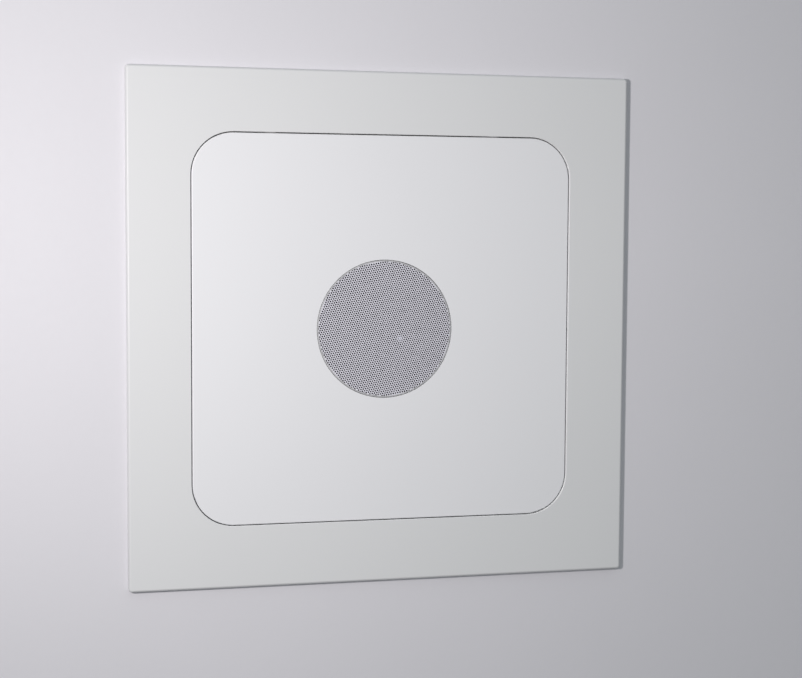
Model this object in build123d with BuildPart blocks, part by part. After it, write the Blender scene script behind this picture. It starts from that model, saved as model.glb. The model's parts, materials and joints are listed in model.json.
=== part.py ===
from build123d import *

import os
from math import acos, atan2, cos, degrees, hypot, radians, sin, sqrt, tan

# A flush wall chime station. A rounded-square unit with a round speaker grille sits in a square
# trim frame, over a moulded box that four swing-out wings clamp behind a plasterboard wall.
# Axes: X to the right, Y into the wall, Z up. The origin is the middle of the wall cut-out, on the
# face of the wall. Every value called "out" is a height above that face, positive into the room.

os.makedirs("parts", exist_ok=True)

# Driving dimensions, in millimetres

# Trim frame
trim_border = 27.1
trim_rim = 7.0
trim_thickness = 3.0
trim_corner = 1.6
trim_edge_radius = 1.2
opening_edge_chamfer = 0.2

# Chime unit, outside
unit_width = 169.0
unit_corner = 18.0
unit_depth = 35.0
unit_gap = 0.4
unit_recess = 0.4
unit_edge_radius = 0.5
unit_back_radius = 3.0
cover_depth = 12.0
cover_plate = 2.4
shell_wall = 2.2
lip_thickness = 1.2
lip_height = 2.5
lip_clearance = 0.15

# Mounting box
flange_thickness = 1.6
flange_gap = 0.4
flange_corner = 4.0
box_depth = 60.0
box_wall = 2.0
guide_width = 4.0
guide_height = 3.0
guide_clearance = 0.3
guide_length = 30.0
guide_spacing = 100.0
box_edge_radius = 4.0
gusset_reach = 7.0
gusset_depth = 22.0
gusset_thickness = 2.0
gusset_pitch = 45.0
post_radius = 8.0
post_inset_x = 34.5
post_inset_z = 20.5

# Magnets that hold the trim to the flange, and the unit to the box
trim_magnet_radius = 4.0
trim_magnet_skin = 0.5
trim_magnet_spread = 50.0
strike_skin = 0.6
magnet_radius = 6.0
magnet_thickness = 4.0
keeper_radius = 7.0
keeper_skin = 1.0
glue_gap = 0.1

# Wall clamps
held_wall = 12.5
screw_radius = 2.0
screw_clearance = 0.2
screw_tip_depth = 46.0
head_radius = 3.6
head_height = 2.4
head_recess = 0.4
head_clearance = 0.4
cross_length = 4.4
cross_width = 0.9
cross_depth = 1.4
collar_radius = 3.0
collar_length = 1.5
clamp_boss_radius = 5.0
clamp_boss_depth = 6.0
wing_width = 6.0
wing_reach = 18.0
wing_boss_radius = 4.2
wing_boss_length = 14.0
wing_tip_thickness = 3.0
wing_root_thickness = 9.0
wing_gap = 0.5
thread_clearance = 0.1
stop_fin_thickness = 2.0
stop_fin_depth = 34.0
stop_fin_gap = 0.3

# Cable entry
grommet_bore = 5.0
grommet_hole = 8.0
grommet_lip = 2.0
grommet_gap = 0.1
grommet_inset = 32.8

# Grille, acoustic mesh and light ring
grille_radius = 30.2
grille_recess = 0.2
grille_sheet = 1.0
grille_cup_wall = 0.5
grille_flange_width = 2.8
grille_flange = 1.0
grille_clearance = 0.2
hole_pitch = 1.04
hole_radius = 0.39
hole_group = 3
hole_row_angle = 10.0
mesh_thickness = 0.3
mesh_clearance = 0.2
light_ring_radius = 16.0
light_ring_width = 8.0
led_board_thickness = 1.0
lamp_board_margin = 1.5
lamp_tongue_width = 9.0
lamp_tongue_reach = 6.0
sound_slot_count = 6
sound_slot_rib = 5.0
led_count = 12
led_size = 1.6
led_height = 0.8
led_side_gap = 0.4
led_top_gap = 0.3
status_lamp_x = 7.0
status_lamp_z = -4.3
status_arm_width = 4.0

# Loudspeaker
gasket_thickness = 1.2
gasket_width = 3.5
basket_overhang = 2.0
basket_flange = 1.0
basket_wall = 1.2
basket_floor = 1.0
basket_floor_ring = 6.0
basket_window_count = 4
basket_window_width = 12.0
basket_ear_radius = 4.0
speaker_boss_gap = 3.6
surround_gap = 0.5
surround_lip = 2.0
surround_roll_gap = 1.0
surround_roll = 4.5
surround_cone_lip = 1.5
surround_thickness = 0.4
cone_edge_gap = 0.2
cone_rim = 1.3
cone_depth = 6.0
cone_thickness = 0.5
cone_to_spider = 2.2
coil_former_radius = 9.8
coil_former_wall = 0.3
coil_thickness = 0.5
coil_length = 5.0
coil_above_gap = 1.0
dust_cap_rise = 2.4
dust_cap_thickness = 0.4
spider_thickness = 0.3
spider_clearance = 0.1
spider_edge_gap = 0.3
spider_rim = 2.2
spider_collar = 1.3
spider_roll_count = 3
spider_roll_height = 0.8
air_gap = 0.4
top_plate_thickness = 2.5
ring_magnet_radius = 23.0
ring_magnet_overhang = 1.0
ring_magnet_gap = 1.8
ring_magnet_thickness = 6.0
yoke_inset = 2.0
yoke_thickness = 2.5

# Circuit board and what it carries
board_width = 128.0
board_height = 38.0
board_thickness = 1.6
board_gap = 1.0
board_depth = 14.0
board_hole_inset = 5.5
board_post_radius = 3.0
can_width = 30.0
can_height = 24.0
can_thickness = 2.5
can_corner = 1.0
can_spacing = 22.0
port_recess = 1.0
port_clearance = 0.3
port_row_start = -32.0
port_spacing = 12.0
network_width = 16.0
network_height = 14.0
network_port_width = 11.8
network_port_height = 8.2
network_port_depth = 12.0
latch_width = 4.0
latch_height = 2.4
supply_body = 10.0
supply_barrel_radius = 5.0
supply_bore = 3.2
supply_bore_depth = 10.0
supply_pin_radius = 1.0
supply_pin_length = 8.5
button_radius = 2.4
button_clearance = 0.2
button_flange_radius = 3.6
button_flange = 0.8
button_stem_radius = 1.6
switch_size = 6.0
switch_height = 4.5
plunger_radius = 1.75
plunger_clearance = 0.1
plunger_bore_gap = 1.1
plunger_height = 1.0
plunger_length = 2.5

# Battery and antennas
cell_radius = 9.2
cell_length = 65.0
cell_spacing = 1.1
cell_clearance = 0.2
holder_gap = 0.8
cell_cap_radius = 3.2
cell_cap_length = 1.2
holder_wall = 2.0
holder_base = 2.3
holder_height = 10.0
holder_end_rise = 5.0
strap_slot_width = 4.0
strap_width = 3.0
strap_overhang = 4.0
pad_width = 56.0
pad_gap = 0.1
antenna_width = 14.0
antenna_height = 60.0
antenna_thickness = 0.8
antenna_inset = 12.0

# Leads, their connectors, and the small parts on the board
lead_radius = 0.5
lead_pitch = 2.5
lead_straight = 4.5
lead_floor_gap = 0.1
lead_lane = 47.0
lead_lane_length = 72.0
lead_turn_in = 11.0
bend_share = 0.45
coax_radius = 0.35
coax_column = 50.0
coax_straight = 5.0
flex_width = 5.0
flex_thickness = 0.3
connector_width = 6.0
connector_height = 5.0
connector_thickness = 4.0
connector_column = 5.5
connector_inset = 8.0
battery_connector_inset = 5.0
antenna_socket_size = 3.0
antenna_socket_thickness = 2.4
antenna_socket_inset = 4.5
terminal_width = 6.0
terminal_height = 4.0
terminal_thickness = 1.2
terminal_inset = 1.4
chip_size = 9.0
chip_thickness = 1.2
chip_column = 50.0
chip_rise = 7.0
capacitor_radius = 4.0
capacitor_height = 10.0
capacitor_spacing = 10.0
capacitor_rise = 8.0

# Fasteners and feet
boss_radius = 4.0
boss_gap = 1.2
pillar_height = 6.2
housing_screw_radius = 1.25
housing_screw_length = 14.4
housing_screw_head = 2.8
housing_screw_head_height = 2.0
screw_hole_gap = 0.35
pilot_gap = 0.05
foot_radius = 7.0
foot_thickness = 1.6
foot_recess = 0.8
small_screw_radius = 1.0
small_screw_length = 6.0
small_screw_head = 2.0
small_screw_head_height = 1.2

# Heights and widths that follow from the driving dimensions

opening_width = unit_width + 2 * unit_gap
opening_corner = unit_corner + unit_gap
trim_width = opening_width + 2 * trim_border
flange_width = trim_width - 2 * trim_rim
trim_magnet_thickness = trim_thickness - flange_thickness - trim_magnet_skin
strike_thickness = flange_thickness - strike_skin

unit_face = trim_thickness - unit_recess
unit_back = unit_face - unit_depth
cover_back = unit_face - cover_plate
split_out = unit_face - cover_depth
floor_out = unit_back + shell_wall
lip_width = unit_width - 2 * (shell_wall + lip_clearance)
lip_inside = lip_width - 2 * lip_thickness
lip_corner = unit_corner - shell_wall - lip_clearance
boss_reach = lip_corner - lip_thickness - boss_gap - boss_radius
boss_spread = unit_width / 2 - unit_corner + boss_reach / sqrt(2)
keeper_thickness = shell_wall - keeper_skin

box_inner = unit_width + 2 * (guide_clearance + guide_height)
box_outer = box_inner + 2 * box_wall
box_corner = unit_corner + guide_clearance + guide_height
box_floor = -box_depth + box_wall
post_spread_x = unit_width / 2 - post_inset_x
post_spread_z = unit_width / 2 - post_inset_z
grommet_height = grommet_inset - box_inner / 2

clamp_offset = box_outer / 2 + wing_gap + wing_width / 2
head_seat = flange_thickness - head_recess - head_height

grille_face = unit_face - grille_recess
sheet_back = grille_face - grille_sheet
mesh_back = sheet_back - mesh_thickness
cup_inner = grille_radius - grille_cup_wall
grille_flange_radius = grille_radius + grille_flange_width
light_ring_inner = light_ring_radius - light_ring_width / 2
light_ring_outer = light_ring_radius + light_ring_width / 2
led_front = cover_back - grille_flange
led_back = led_front - led_board_thickness

speaker_face = led_back - gasket_thickness
gasket_inner = grille_flange_radius - gasket_width
basket_radius = grille_flange_radius + basket_overhang
speaker_hole_spread = (grille_flange_radius + speaker_boss_gap + board_post_radius) / sqrt(2)
surround_lip_radius = gasket_inner - surround_gap
basket_mouth = surround_lip_radius - surround_lip
surround_roll_outer = basket_mouth - surround_roll_gap
surround_roll_inner = surround_roll_outer - surround_roll
surround_lip_inner = surround_roll_inner - surround_cone_lip
cone_radius = surround_roll_inner - surround_thickness - cone_edge_gap
cone_neck = speaker_face - cone_depth
spider_back = cone_neck - cone_thickness - cone_to_spider - spider_thickness
motor_face = spider_back - basket_floor
top_plate_radius = ring_magnet_radius - ring_magnet_overhang
basket_seat_radius = ring_magnet_radius
spider_radius = basket_seat_radius - basket_wall - spider_edge_gap
top_plate_back = motor_face - top_plate_thickness
ring_magnet_back = top_plate_back - ring_magnet_thickness
coil_bore = coil_former_radius - coil_former_wall
coil_outer = coil_former_radius + coil_thickness
coil_end = motor_face - coil_above_gap - coil_length
ring_magnet_bore = coil_outer + air_gap + ring_magnet_gap

board_front = -board_depth
board_back = board_front - board_thickness
board_centre = lip_inside / 2 - board_gap - board_height / 2
port_height = board_centre
port_face = unit_back + port_recess
network_x = port_row_start + network_width / 2
supply_x = network_x + (network_width + supply_body) / 2 + port_spacing
button_x = supply_x + (supply_body + switch_size) / 2 + port_spacing
switch_face = board_back - switch_height
plunger_tip = switch_face - plunger_height

cell_pitch = 2 * cell_radius + cell_spacing
cell_centre_out = floor_out + holder_base + cell_clearance + cell_radius
holder_inside = cell_length + 2 * cell_clearance
holder_span = cell_pitch + 2 * (cell_radius + cell_clearance)
cell_centre_z = holder_gap + holder_span / 2 - lip_inside / 2
antenna_x = lip_inside / 2 - antenna_inset - antenna_width / 2

board_edge = board_centre - board_height / 2
connector_out = board_front + connector_thickness / 2
connector_foot = board_edge + connector_inset
battery_connector_out = board_back - connector_thickness / 2
battery_connector_foot = board_edge + battery_connector_inset
antenna_socket_out = board_front + antenna_socket_thickness / 2
antenna_socket_foot = board_edge + antenna_socket_inset
terminal_out = speaker_face - basket_flange - terminal_thickness / 2
terminal_top = basket_radius - terminal_inset
flex_out = led_back - flex_thickness / 2
strap_face = holder_inside / 2
lead_floor = floor_out + lead_floor_gap + lead_radius

HOLE_SIDES = 6
CORNERS = [(1, 1), (-1, 1), (-1, -1), (1, -1)]
QUARTERS = {"upper_right": 0, "upper_left": 90, "lower_left": 180, "lower_right": 270}


def layer(out):
    """A sketch plane parallel to the wall, facing the room, at this height out of it."""
    return Plane.XZ.offset(out)


def quarter_layer(angle, out):
    """The same plane, turned by a quarter's angle about the middle of the wall plane."""
    return Plane(origin=(0, -out, 0), x_dir=(cos(radians(angle)), 0, sin(radians(angle))), z_dir=(0, -1, 0))


def at(x, z, out):
    """A point in the part's own axes."""
    return (x, -out, z)


def bend_radii(route):
    """For each corner of a route, the radius that uses the same share of its shorter run."""
    points = [Vector(*point) for point in route]
    runs = [end - start for start, end in zip(points, points[1:])]
    return [
        bend_share * min(before.length, after.length) / tan(radians(before.get_angle(after)) / 2)
        for before, after in zip(runs, runs[1:])
    ]


def corners(x, z):
    """The four points at plus and minus x and z."""
    return [(sx * x, sz * z) for sx, sz in CORNERS]


def turned(points, angle):
    """The points, turned about the middle of the wall plane by this many degrees."""
    c, s = cos(radians(angle)), sin(radians(angle))
    return [(x * c - z * s, x * s + z * c) for x, z in points]


def profile(*points):
    """Points given as (radius, out), for a sketch that is turned about the Y axis."""
    return [(radius, -out) for radius, out in points]


def hex_grid(pitch, angle, reach):
    """Points of a triangular lattice, turned by angle, that lie within reach of the middle."""
    rows = range(-int(2 * reach / pitch), int(2 * reach / pitch) + 1)
    lattice = [((i + j / 2) * pitch, j * pitch * sqrt(3) / 2) for i in rows for j in rows]
    return turned([p for p in lattice if hypot(*p) <= reach], angle)


trim_magnet_ring = (opening_width + flange_width) / 4
trim_magnet_places = [
    place
    for angle in QUARTERS.values()
    for place in turned(
        [(trim_magnet_ring, trim_magnet_spread), (trim_magnet_ring, -trim_magnet_spread)], angle
    )
]
post_places = corners(post_spread_x, post_spread_z)
boss_places = corners(boss_spread, boss_spread)
speaker_places = corners(speaker_hole_spread, speaker_hole_spread)
board_places = [
    (x, board_centre + z)
    for x, z in corners(board_width / 2 - board_hole_inset, board_height / 2 - board_hole_inset)
]

# Trim frame: the square plate that shows round the unit, with a pocket behind for the box flange
with BuildPart() as trim_frame:
    with BuildSketch(layer(0)):
        RectangleRounded(trim_width, trim_width, trim_corner)
    extrude(amount=trim_thickness)
    fillet(trim_frame.faces().sort_by(Axis.Y)[0].edges(), trim_edge_radius)
    with BuildSketch(layer(0)):
        RectangleRounded(opening_width, opening_width, opening_corner)
    extrude(amount=trim_thickness, mode=Mode.SUBTRACT)
    chamfer(trim_frame.faces().sort_by(Axis.Y)[0].inner_wires()[0].edges(), opening_edge_chamfer)
    with BuildSketch(layer(0)):
        RectangleRounded(
            flange_width + 2 * flange_gap, flange_width + 2 * flange_gap, flange_corner + flange_gap
        )
    extrude(amount=flange_thickness, mode=Mode.SUBTRACT)
    with BuildSketch(layer(flange_thickness)):
        with Locations(*trim_magnet_places):
            Circle(trim_magnet_radius + glue_gap)
    extrude(amount=trim_magnet_thickness, mode=Mode.SUBTRACT)
trim_frame.part.label = "trim_frame"
export_step(trim_frame.part, "parts/trim_frame.step")

# Magnets glued into the back of the trim
with BuildPart() as trim_magnets:
    with BuildSketch(layer(flange_thickness)):
        with Locations(*trim_magnet_places):
            Circle(trim_magnet_radius)
    extrude(amount=trim_magnet_thickness)
trim_magnets.part.label = "trim_magnets"
export_step(trim_magnets.part, "parts/trim_magnets.step")

# Mounting box: flange, deep box, unit guides, magnet posts, clamp bosses and wing stops
with BuildPart() as mounting_box:
    with BuildSketch(layer(0)):
        RectangleRounded(flange_width, flange_width, flange_corner)
    extrude(amount=flange_thickness)
    with BuildSketch(layer(0)):
        RectangleRounded(box_outer, box_outer, box_corner + box_wall)
    extrude(amount=-box_depth)
    fillet(mounting_box.faces().sort_by(Axis.Y)[-1].edges(), box_edge_radius)
    for angle in QUARTERS.values():
        side = quarter_layer(angle, 0)
        for shift in (-gusset_pitch, 0, gusset_pitch):
            foot = side.from_local_coords((box_outer / 2, shift, 0))
            with BuildSketch(Plane(origin=foot, x_dir=side.x_dir, z_dir=side.y_dir)):
                with BuildLine():
                    Polyline(
                        (-box_wall / 2, 0),
                        (gusset_reach, 0),
                        (0, gusset_depth),
                        (-box_wall / 2, gusset_depth),
                        close=True,
                    )
                make_face()
            extrude(amount=gusset_thickness / 2, both=True)
    with BuildSketch(layer(0)):
        with Locations(*corners(clamp_offset, clamp_offset)):
            Circle(clamp_boss_radius)
    extrude(amount=-clamp_boss_depth)
    with BuildSketch(layer(0)):
        for angle in QUARTERS.values():
            fin_x = clamp_offset + wing_width / 2 + stop_fin_gap + stop_fin_thickness / 2
            fin_low = clamp_offset + wing_boss_radius - stop_fin_gap
            fin_high = clamp_offset + clamp_boss_radius
            fin_centre = (fin_x, (fin_low + fin_high) / 2)
            with Locations(*turned([fin_centre], angle)):
                Rectangle(stop_fin_thickness, fin_high - fin_low, rotation=angle)
    extrude(amount=-stop_fin_depth)
    with BuildSketch(layer(flange_thickness)):
        RectangleRounded(box_inner, box_inner, box_corner)
    extrude(amount=box_floor - flange_thickness, mode=Mode.SUBTRACT)
    with BuildSketch(layer(0)):
        for angle in QUARTERS.values():
            guide_x = (box_inner - guide_height) / 2
            guide_places = [(guide_x, guide_spacing / 2), (guide_x, -guide_spacing / 2)]
            with Locations(*turned(guide_places, angle)):
                Rectangle(guide_height, guide_width, rotation=angle)
    extrude(amount=-guide_length)
    with BuildSketch(layer(box_floor)):
        with Locations(*post_places):
            Circle(post_radius)
    extrude(amount=unit_back - box_floor)
    with BuildSketch(layer(unit_back)):
        with Locations(*post_places):
            Circle(magnet_radius + glue_gap)
    extrude(amount=-magnet_thickness, mode=Mode.SUBTRACT)
    with BuildSketch(layer(flange_thickness)):
        with Locations(*trim_magnet_places):
            Circle(trim_magnet_radius + glue_gap)
    extrude(amount=-strike_thickness, mode=Mode.SUBTRACT)
    with Locations(layer(flange_thickness)):
        with Locations(*corners(clamp_offset, clamp_offset)):
            CounterBoreHole(
                radius=screw_radius + screw_clearance,
                counter_bore_radius=head_radius + head_clearance,
                counter_bore_depth=head_height + head_recess,
                depth=flange_thickness + clamp_boss_depth,
            )
    with Locations(layer(box_floor)):
        with Locations((0, grommet_height)):
            Hole(grommet_hole, depth=box_wall)
mounting_box.part.label = "mounting_box"
export_step(mounting_box.part, "parts/mounting_box.step")

# Steel strike discs let into the flange, one under each trim magnet
with BuildPart() as strike_discs:
    with BuildSketch(layer(flange_thickness)):
        with Locations(*trim_magnet_places):
            Circle(trim_magnet_radius)
    extrude(amount=-strike_thickness)
strike_discs.part.label = "strike_discs"
export_step(strike_discs.part, "parts/strike_discs.step")

# Magnets in the ends of the box's posts, which hold the unit in
with BuildPart() as holding_magnets:
    with BuildSketch(layer(unit_back)):
        with Locations(*post_places):
            Circle(magnet_radius)
    extrude(amount=-magnet_thickness)
holding_magnets.part.label = "holding_magnets"
export_step(holding_magnets.part, "parts/holding_magnets.step")

# Rubber grommet in the floor of the box, for the supply and network cables
with BuildPart() as cable_grommet:
    with BuildSketch(layer(box_floor + grommet_lip)):
        with Locations((0, grommet_height)):
            Circle(grommet_hole + grommet_lip)
    extrude(amount=-grommet_lip)
    with BuildSketch(layer(box_floor)):
        with Locations((0, grommet_height)):
            Circle(grommet_hole - grommet_gap)
    extrude(amount=-box_wall)
    with BuildSketch(layer(-box_depth)):
        with Locations((0, grommet_height)):
            Circle(grommet_hole + grommet_lip)
    extrude(amount=-grommet_lip)
    chamfer(
        cable_grommet.edges().filter_by(GeomType.CIRCLE).group_by(SortBy.RADIUS)[-1], grommet_lip / 3
    )
    with Locations(layer(box_floor + grommet_lip)):
        with Locations((0, grommet_height)):
            Hole(grommet_bore, depth=box_wall + 2 * grommet_lip)
cable_grommet.part.label = "cable_grommet"
export_step(cable_grommet.part, "parts/cable_grommet.step")

# Wall clamps, all alike, set a quarter turn apart: tightening a screw swings its wing outwards,
# and the wing then draws up the thread against the back of the wall
for corner, angle in QUARTERS.items():
    with BuildPart() as clamp_screw:
        with BuildSketch(quarter_layer(angle, head_seat)):
            with Locations((clamp_offset, clamp_offset)):
                Circle(head_radius)
        extrude(amount=head_height)
        chamfer(clamp_screw.faces().sort_by(Axis.Y)[0].edges(), head_height / 6)
        with BuildSketch(quarter_layer(angle, head_seat + head_height)):
            with Locations((clamp_offset, clamp_offset)):
                Rectangle(cross_length, cross_width)
                Rectangle(cross_width, cross_length)
        extrude(amount=-cross_depth, mode=Mode.SUBTRACT)
        with BuildSketch(quarter_layer(angle, head_seat)):
            with Locations((clamp_offset, clamp_offset)):
                Circle(screw_radius)
        extrude(amount=-(screw_tip_depth + head_seat))
        with BuildSketch(quarter_layer(angle, -screw_tip_depth)):
            with Locations((clamp_offset, clamp_offset)):
                Circle(collar_radius)
        extrude(amount=collar_length)
    clamp_screw.part.label = f"clamp_screw_{corner}"
    export_step(clamp_screw.part, f"parts/clamp_screw_{corner}.step")

    wing_back = quarter_layer(angle, -held_wall)
    wing_side = Plane(
        origin=wing_back.from_local_coords((clamp_offset - wing_width / 2, clamp_offset, 0)),
        x_dir=wing_back.y_dir,
        z_dir=wing_back.x_dir,
    )
    with BuildPart() as clamp_wing:
        with BuildSketch(wing_side):
            with BuildLine():
                Polyline(
                    (0, 0),
                    (wing_reach, 0),
                    (wing_reach, -wing_tip_thickness),
                    (wing_boss_radius, -wing_root_thickness),
                    (0, -wing_root_thickness),
                    close=True,
                )
            make_face()
        extrude(amount=wing_width)
        with BuildSketch(quarter_layer(angle, -held_wall)):
            with Locations((clamp_offset, clamp_offset)):
                Circle(wing_boss_radius)
        extrude(amount=-wing_boss_length)
        with Locations(quarter_layer(angle, -held_wall)):
            with Locations((clamp_offset, clamp_offset)):
                Hole(screw_radius + thread_clearance, depth=wing_boss_length)
    clamp_wing.part.label = f"clamp_wing_{corner}"
    export_step(clamp_wing.part, f"parts/clamp_wing_{corner}.step")

# Front cover of the unit: face, skirt, grille opening and the bosses behind the face
with BuildPart() as front_cover:
    with BuildSketch(layer(unit_face)):
        RectangleRounded(unit_width, unit_width, unit_corner)
    extrude(amount=-cover_depth)
    fillet(front_cover.faces().sort_by(Axis.Y)[0].edges(), unit_edge_radius)
    with BuildSketch(layer(cover_back)):
        RectangleRounded(unit_width - 2 * shell_wall, unit_width - 2 * shell_wall, unit_corner - shell_wall)
    extrude(amount=split_out - cover_back, mode=Mode.SUBTRACT)
    with BuildSketch(layer(cover_back)):
        with Locations(*boss_places):
            Circle(boss_radius)
    extrude(amount=floor_out + pillar_height - cover_back)
    with BuildSketch(layer(cover_back)):
        with Locations(*board_places):
            Circle(board_post_radius)
    extrude(amount=board_front - cover_back)
    with BuildSketch(layer(cover_back)):
        with Locations(*speaker_places):
            Circle(board_post_radius)
    extrude(amount=speaker_face - cover_back)
    with Locations(layer(unit_face)):
        Hole(grille_radius + grille_clearance, depth=cover_plate)
    pilot_depth = housing_screw_length - pillar_height + housing_screw_head_height + screw_hole_gap
    with BuildSketch(layer(floor_out + pillar_height)):
        with Locations(*boss_places):
            Circle(housing_screw_radius + pilot_gap)
    extrude(amount=pilot_depth, mode=Mode.SUBTRACT)
    with BuildSketch(layer(board_front)):
        with Locations(*board_places):
            Circle(small_screw_radius + pilot_gap)
    extrude(amount=small_screw_length, mode=Mode.SUBTRACT)
    with BuildSketch(layer(speaker_face)):
        with Locations(*speaker_places):
            Circle(small_screw_radius + pilot_gap)
    extrude(amount=cover_back - speaker_face, mode=Mode.SUBTRACT)
front_cover.part.label = "front_cover"
export_step(front_cover.part, "parts/front_cover.step")

# Rear housing of the unit: tray, lip into the cover, screw pillars, ports and recesses
with BuildPart() as rear_housing:
    with BuildSketch(layer(split_out)):
        RectangleRounded(unit_width, unit_width, unit_corner)
    extrude(amount=unit_back - split_out)
    fillet(rear_housing.faces().sort_by(Axis.Y)[-1].edges(), unit_back_radius)
    with BuildSketch(layer(split_out)):
        RectangleRounded(unit_width - 2 * shell_wall, unit_width - 2 * shell_wall, unit_corner - shell_wall)
    extrude(amount=floor_out - split_out, mode=Mode.SUBTRACT)
    band_width = unit_width - shell_wall
    with BuildSketch(layer(split_out - lip_height)):
        RectangleRounded(band_width, band_width, unit_corner - shell_wall / 2)
        RectangleRounded(lip_inside, lip_inside, lip_corner - lip_thickness, mode=Mode.SUBTRACT)
    extrude(amount=lip_height)
    with BuildSketch(layer(split_out)):
        RectangleRounded(lip_width, lip_width, lip_corner)
        RectangleRounded(lip_inside, lip_inside, lip_corner - lip_thickness, mode=Mode.SUBTRACT)
    extrude(amount=lip_height)
    with BuildSketch(layer(floor_out)):
        with Locations(*boss_places):
            Circle(boss_radius + screw_hole_gap)
    extrude(amount=pillar_height)
    with BuildSketch(layer(unit_back)):
        with Locations(*boss_places):
            Circle(foot_radius + glue_gap)
    extrude(amount=foot_recess, mode=Mode.SUBTRACT)
    with BuildSketch(layer(unit_back + foot_recess)):
        with Locations(*boss_places):
            Circle(housing_screw_head + screw_hole_gap)
    extrude(amount=floor_out - unit_back - foot_recess + housing_screw_head_height, mode=Mode.SUBTRACT)
    with BuildSketch(layer(unit_back)):
        with Locations(*boss_places):
            Circle(housing_screw_radius + screw_hole_gap)
    extrude(amount=shell_wall + pillar_height, mode=Mode.SUBTRACT)
    with BuildSketch(layer(unit_back)):
        with Locations(*post_places):
            Circle(keeper_radius + glue_gap)
    extrude(amount=keeper_thickness, mode=Mode.SUBTRACT)
    with BuildSketch(layer(unit_back)):
        with Locations((network_x, port_height)):
            Rectangle(network_width + 2 * port_clearance, network_height + 2 * port_clearance)
        with Locations((supply_x, port_height)):
            Circle(supply_barrel_radius + port_clearance)
        with Locations((button_x, port_height)):
            Circle(button_radius + button_clearance)
    extrude(amount=shell_wall, mode=Mode.SUBTRACT)
rear_housing.part.label = "rear_housing"
export_step(rear_housing.part, "parts/rear_housing.step")

# Screws that close the unit, hidden under the feet
screw_seat = floor_out + housing_screw_head_height
with BuildPart() as housing_screws:
    with BuildSketch(layer(screw_seat)):
        with Locations(*boss_places):
            Circle(housing_screw_head)
    extrude(amount=-housing_screw_head_height)
    with BuildSketch(layer(screw_seat)):
        with Locations(*boss_places):
            Circle(housing_screw_radius)
    extrude(amount=housing_screw_length)
housing_screws.part.label = "housing_screws"
export_step(housing_screws.part, "parts/housing_screws.step")

# Rubber feet, for when the unit stands on a shelf
with BuildPart() as rubber_feet:
    with BuildSketch(layer(unit_back + foot_recess)):
        with Locations(*boss_places):
            Circle(foot_radius)
    extrude(amount=-foot_thickness)
    chamfer(rubber_feet.faces().sort_by(Axis.Y)[-4:].edges(), foot_thickness / 4)
rubber_feet.part.label = "rubber_feet"
export_step(rubber_feet.part, "parts/rubber_feet.step")

# Steel keepers that the box's magnets pull on
with BuildPart() as keeper_discs:
    with BuildSketch(layer(unit_back)):
        with Locations(*post_places):
            Circle(keeper_radius)
    extrude(amount=keeper_thickness)
keeper_discs.part.label = "keeper_discs"
export_step(keeper_discs.part, "parts/keeper_discs.step")

# Speaker grille: a cup with a perforated face and a flange behind the cover. The solid carries one
# hole for each group of real ones, hole_group across, with the same share of open area
group_pitch = hole_pitch * hole_group
group_radius = hole_radius * hole_group
with BuildPart() as speaker_grille:
    with BuildSketch(Plane.XY):
        with BuildLine():
            Polyline(
                *profile(
                    (0, grille_face),
                    (grille_radius, grille_face),
                    (grille_radius, cover_back),
                    (grille_flange_radius, cover_back),
                    (grille_flange_radius, led_front),
                    (cup_inner, led_front),
                    (cup_inner, sheet_back),
                    (0, sheet_back),
                ),
                close=True,
            )
        make_face()
    revolve(axis=Axis.Y)
    with BuildSketch(layer(grille_face)):
        with Locations(*hex_grid(group_pitch, hole_row_angle, cup_inner - group_radius)):
            RegularPolygon(group_radius, HOLE_SIDES, rotation=hole_row_angle)
    extrude(amount=-grille_sheet, mode=Mode.SUBTRACT)
speaker_grille.part.label = "speaker_grille"
export_step(speaker_grille.part, "parts/speaker_grille.step")

# Acoustic mesh, bonded behind the perforated face
with BuildPart() as acoustic_mesh:
    with BuildSketch(layer(sheet_back)):
        Circle(cup_inner - mesh_clearance)
    extrude(amount=-mesh_thickness)
acoustic_mesh.part.label = "acoustic_mesh"
export_step(acoustic_mesh.part, "parts/acoustic_mesh.step")

# Light ring: a diffuser with a groove that the lamps stand in
groove_half = led_size / 2 + led_side_gap
with BuildPart() as light_ring:
    with BuildSketch(layer(led_front)):
        Circle(light_ring_outer)
        Circle(light_ring_inner, mode=Mode.SUBTRACT)
    extrude(amount=mesh_back - led_front)
    with BuildSketch(layer(led_front)):
        Circle(light_ring_radius + groove_half)
        Circle(light_ring_radius - groove_half, mode=Mode.SUBTRACT)
    extrude(amount=led_height + led_top_gap, mode=Mode.SUBTRACT)
light_ring.part.label = "light_ring"
export_step(light_ring.part, "parts/light_ring.step")

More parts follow.
